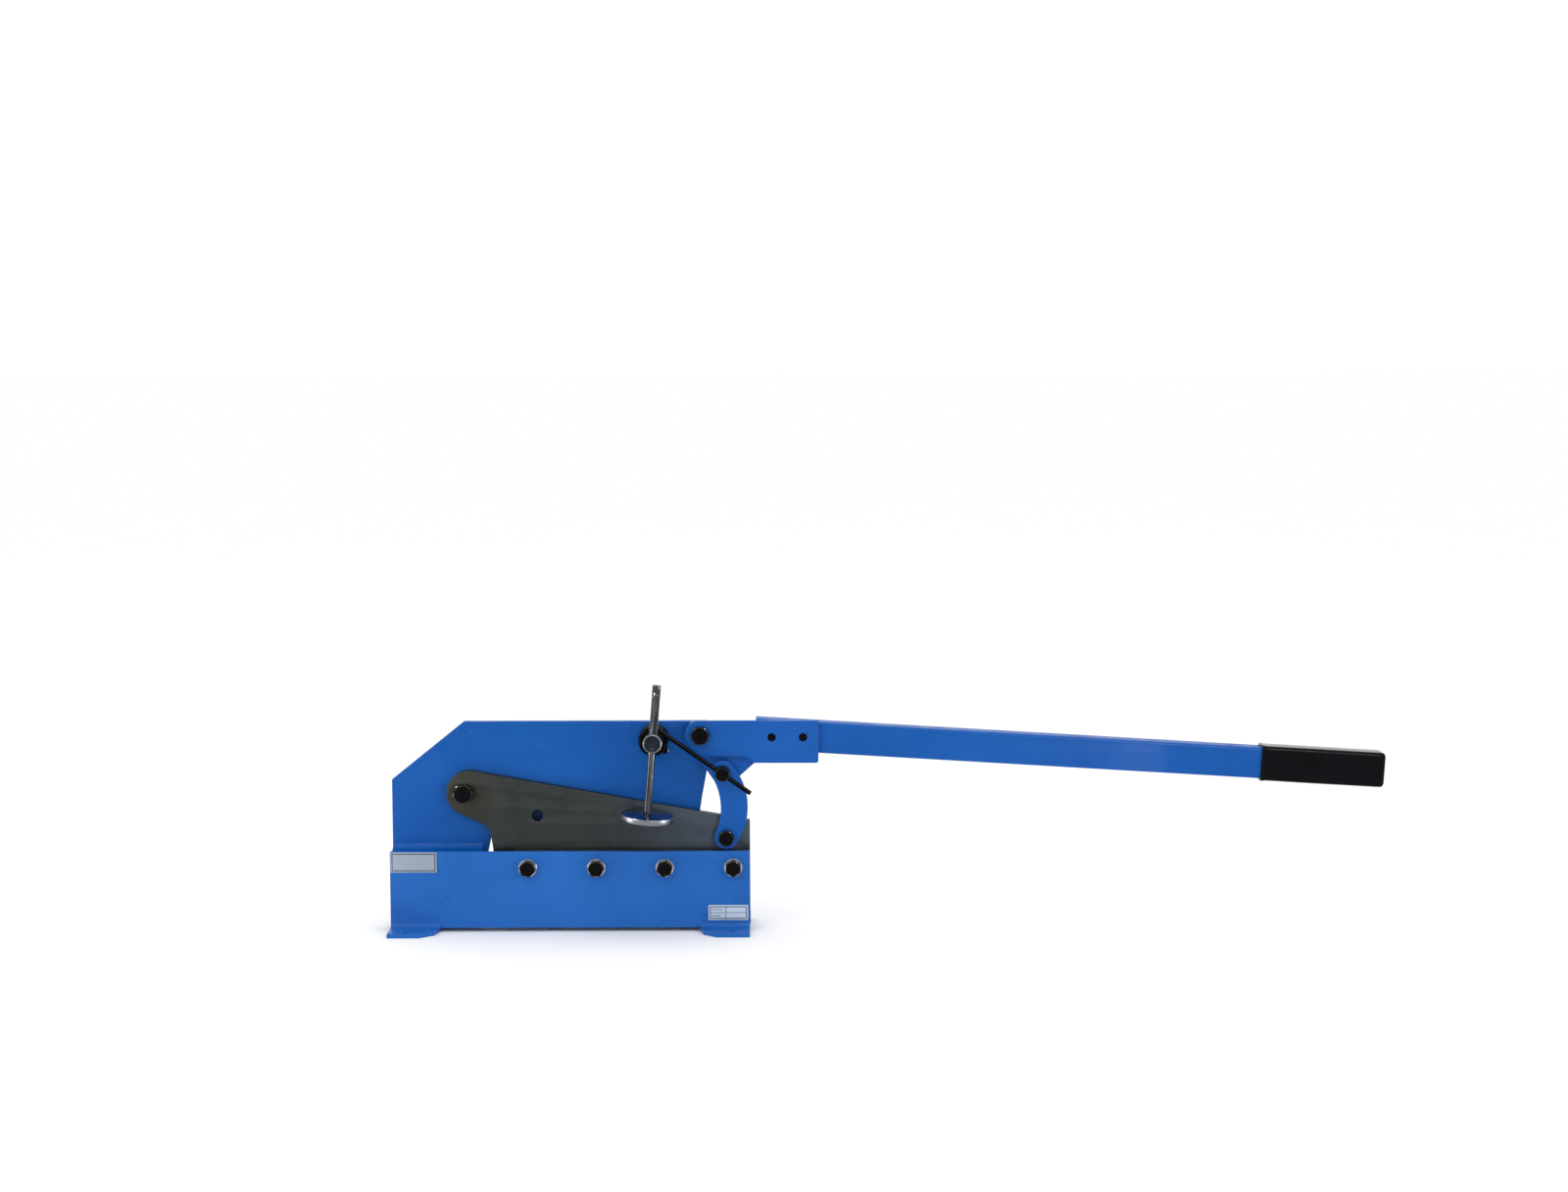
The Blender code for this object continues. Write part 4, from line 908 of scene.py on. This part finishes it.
bore = THREAD_R + 0.35
boolean(post, turned("cross", [(0, -20), (bore, -20), (bore, 20), (0, 20)], on_rod(), 48), 'DIFFERENCE')
piece(post, "post", "hold_down_post", ZINC_POST)
post.data.materials.append(POST_FACE)
front = world(0, post_front + 0.3, 0).y
for face in post.data.polygons:
    if all(post.data.vertices[v].co.y < front for v in face.vertices) and \
            max((Vector((post.data.vertices[v].co.x, post.data.vertices[v].co.z))
                 - Vector((world(POST[0], 0, 0).x, POST[1] * MM))).length for v in face.vertices) < 10.7 * MM:
        face.material_index = 1
piece(washer("post_rear_washer", POST, 15.0, 8.35, 24.8, 27.3), "post", "hold_down_post_washer", ZINC)
piece(hexagon("post_rear_nut", POST, 24.0, 27.6, 38.6, 0.5, True, True, 8.3), "post",
      "hold_down_post_nut", OXIDE)


def threaded_rod(name, sections, place, pitch=1.5, segments=36):
    """Rod from (start, end, radius, depth) stretches; depth is that of a helical thread there."""
    bm = bmesh.new()
    rows = []
    for start, stop, radius, depth in sections:
        steps = max(int(round((stop - start) / (pitch / 4))), 1) if depth else 1
        for i in range(steps + 1):
            h = start + (stop - start) * i / steps
            fade = min(1.0, (h - start) / pitch, (stop - h) / pitch) if depth else 0.0
            row = []
            for k in range(segments):
                t = (h / pitch - k / segments) % 1.0
                r = radius - depth * max(fade, 0.0) * (1 - abs(2 * t - 1))
                a = 2 * math.pi * k / segments
                row.append(bm.verts.new((r * MM * math.cos(a), r * MM * math.sin(a), h * MM)))
            rows.append(row)
    for a, b in zip(rows, rows[1:]):
        for k in range(segments):
            m = (k + 1) % segments
            bm.faces.new((a[k], b[k], b[m], a[m]))
    bm.faces.new(rows[0])
    bm.faces.new(rows[-1][::-1])
    bmesh.ops.transform(bm, matrix=place, verts=bm.verts)
    return from_bm(name, bm, 38.0)


seat = -PAD_TOP - PAD_SEAT
rod = threaded_rod("clamp_screw", [
    (seat + 1.0, seat + 3.6, 4.5, 0.0), (seat + 4.0, seat + 5.6, 4.1, 0.0),
    (seat + 6.0, THREAD_FROM - 0.2, ROD_R, 0.0), (THREAD_FROM, ROD_TOP - 13.0, THREAD_R, 0.8),
    (ROD_TOP - 12.6, ROD_TOP - 1.0, THREAD_R - 0.3, 0.0), (ROD_TOP - 0.01, ROD_TOP, THREAD_R - 1.2, 0.0)],
    on_rod(), 1.75)
piece(rod, "rod", "hold_down_rod", ZINC_ROD)
# The pad is square to the rod along the blades, and its front side is a little low.
pad_x = POST[0] - PAD_TOP * math.sin(ROD_TILT)
pad_z = POST[1] - PAD_TOP * math.cos(ROD_TILT)
pad = turned("clamp_pad", [(0, -PAD_T), (PAD_R - 1.0, -PAD_T), (PAD_R - 0.3, 0.3 - PAD_T), (PAD_R, 1.0 - PAD_T),
                           (PAD_R, -1.0), (PAD_R - 0.3, -0.3), (PAD_R - 1.0, 0.0), (0, 0)],
             Matrix.Translation(world(pad_x, ROD_Y, pad_z)) @ PAD_LEAN.to_matrix().to_4x4(), 96)
boolean(pad, turned("socket", [(0, seat), (ROD_R + 0.4, seat), (ROD_R + 0.4, seat + 13.5), (0, seat + 13.5)],
                    on_rod(), 40), 'DIFFERENCE')
piece(pad, "rod", "hold_down_pad", ZINC_PAD)
# The top face takes the blue-tinted zinc, a painted reflection.
pad.data.materials.append(PAD_TOP_PAINTED_REFLECTION)
for face in pad.data.polygons:
    if face.normal.z > 0.95:
        face.material_index = 1

# ---------------------------------------------------------------- stage
bm = bmesh.new()
corners = [bm.verts.new((x, y, 0.0)) for x, y in ((-60, -60), (60, -60), (60, 60), (-60, 60))]
bm.faces.new(corners)
floor = from_bm("floor", bm, 60.0)
floor_look = Look("floor", (0.95, 0.95, 0.95), 0.8, 0.0)
floor_look.color(floor_look.mix(floor_look.noise(3.0, 2.0), (0.945, 0.945, 0.945), (0.955, 0.955, 0.955)))
floor_look.bsdf.inputs["Specular IOR Level"].default_value = 0.1
floor.data.materials.append(floor_look.mat)

sky = bpy.data.worlds.new("studio")
sky.use_nodes = True
sky.node_tree.nodes["Background"].inputs["Color"].default_value = (1.0, 1.0, 1.0, 1.0)
sky.node_tree.nodes["Background"].inputs["Strength"].default_value = 1.05
bpy.context.scene.world = sky
bpy.context.scene.view_settings.view_transform = 'Standard'


def softbox(name, where, target, size, power, tint=(1.0, 1.0, 1.0), shine_only=False):
    data = bpy.data.lights.new(name, 'AREA')
    data.shape = 'RECTANGLE'
    data.size, data.size_y = size
    data.energy = power
    data.color = tint
    ob = bpy.data.objects.new(name, data)
    bpy.context.scene.collection.objects.link(ob)
    ob.location = where
    ob.visible_camera = False
    ob.visible_diffuse = not shine_only
    ob.rotation_mode = 'QUATERNION'
    ob.rotation_quaternion = (Vector(target) - Vector(where)).to_track_quat('-Z', 'Y')


softbox("overhead", (0.1, 0.2, 2.6), (0.0, 0.1, 0.1), (2.4, 1.6), 10.0)
softbox("left_key", (-1.7, -2.2, 1.9), (-0.2, 0.0, 0.15), (0.5, 0.5), 7.0)
softbox("right_fill", (1.9, -2.2, 1.7), (0.1, 0.0, 0.15), (0.5, 0.5), 4.0)
softbox("left_glint", (-2.45, -1.75, 1.55), (-0.3, 0.0, 0.2), (0.40, 0.40), 60.0, shine_only=True)
softbox("right_glint", (1.1, -2.2, 1.90), (-0.3, 0.0, 0.2), (0.40, 0.40), 60.0, shine_only=True)
softbox("left_strip", (-1.05, -0.22, 0.12), (-0.31, -0.04, 0.2), (0.08, 0.34), 4.5, shine_only=True)
softbox("right_strip", (0.42, -0.22, 0.12), (-0.31, -0.44, 0.2), (0.08, 0.34), 4.5, shine_only=True)

# ---------------------------------------------------------------- camera
camera = bpy.data.cameras.new("camera")
camera.lens = 63.21
camera.sensor_width = 36.0
cam = bpy.data.objects.new("camera", camera)
bpy.context.scene.collection.objects.link(cam)
pitch, yaw, roll = math.radians(5.287), math.radians(0.038), math.radians(-0.172)
ahead = Vector((-math.sin(yaw), math.cos(yaw), 0.0))
right = Vector((math.cos(yaw), math.sin(yaw), 0.0))
look_dir = math.cos(pitch) * ahead - Vector((0, 0, math.sin(pitch)))
up = math.sin(pitch) * ahead + Vector((0, 0, math.cos(pitch)))
tilt_x = math.cos(roll) * right + math.sin(roll) * up
tilt_y = -math.sin(roll) * right + math.cos(roll) * up
where = world(510.2, -3510.3, 756.5)
cam.matrix_world = Matrix(((tilt_x.x, tilt_y.x, -look_dir.x, where.x),
                           (tilt_x.y, tilt_y.y, -look_dir.y, where.y),
                           (tilt_x.z, tilt_y.z, -look_dir.z, where.z), (0, 0, 0, 1)))
bpy.context.scene.camera = cam
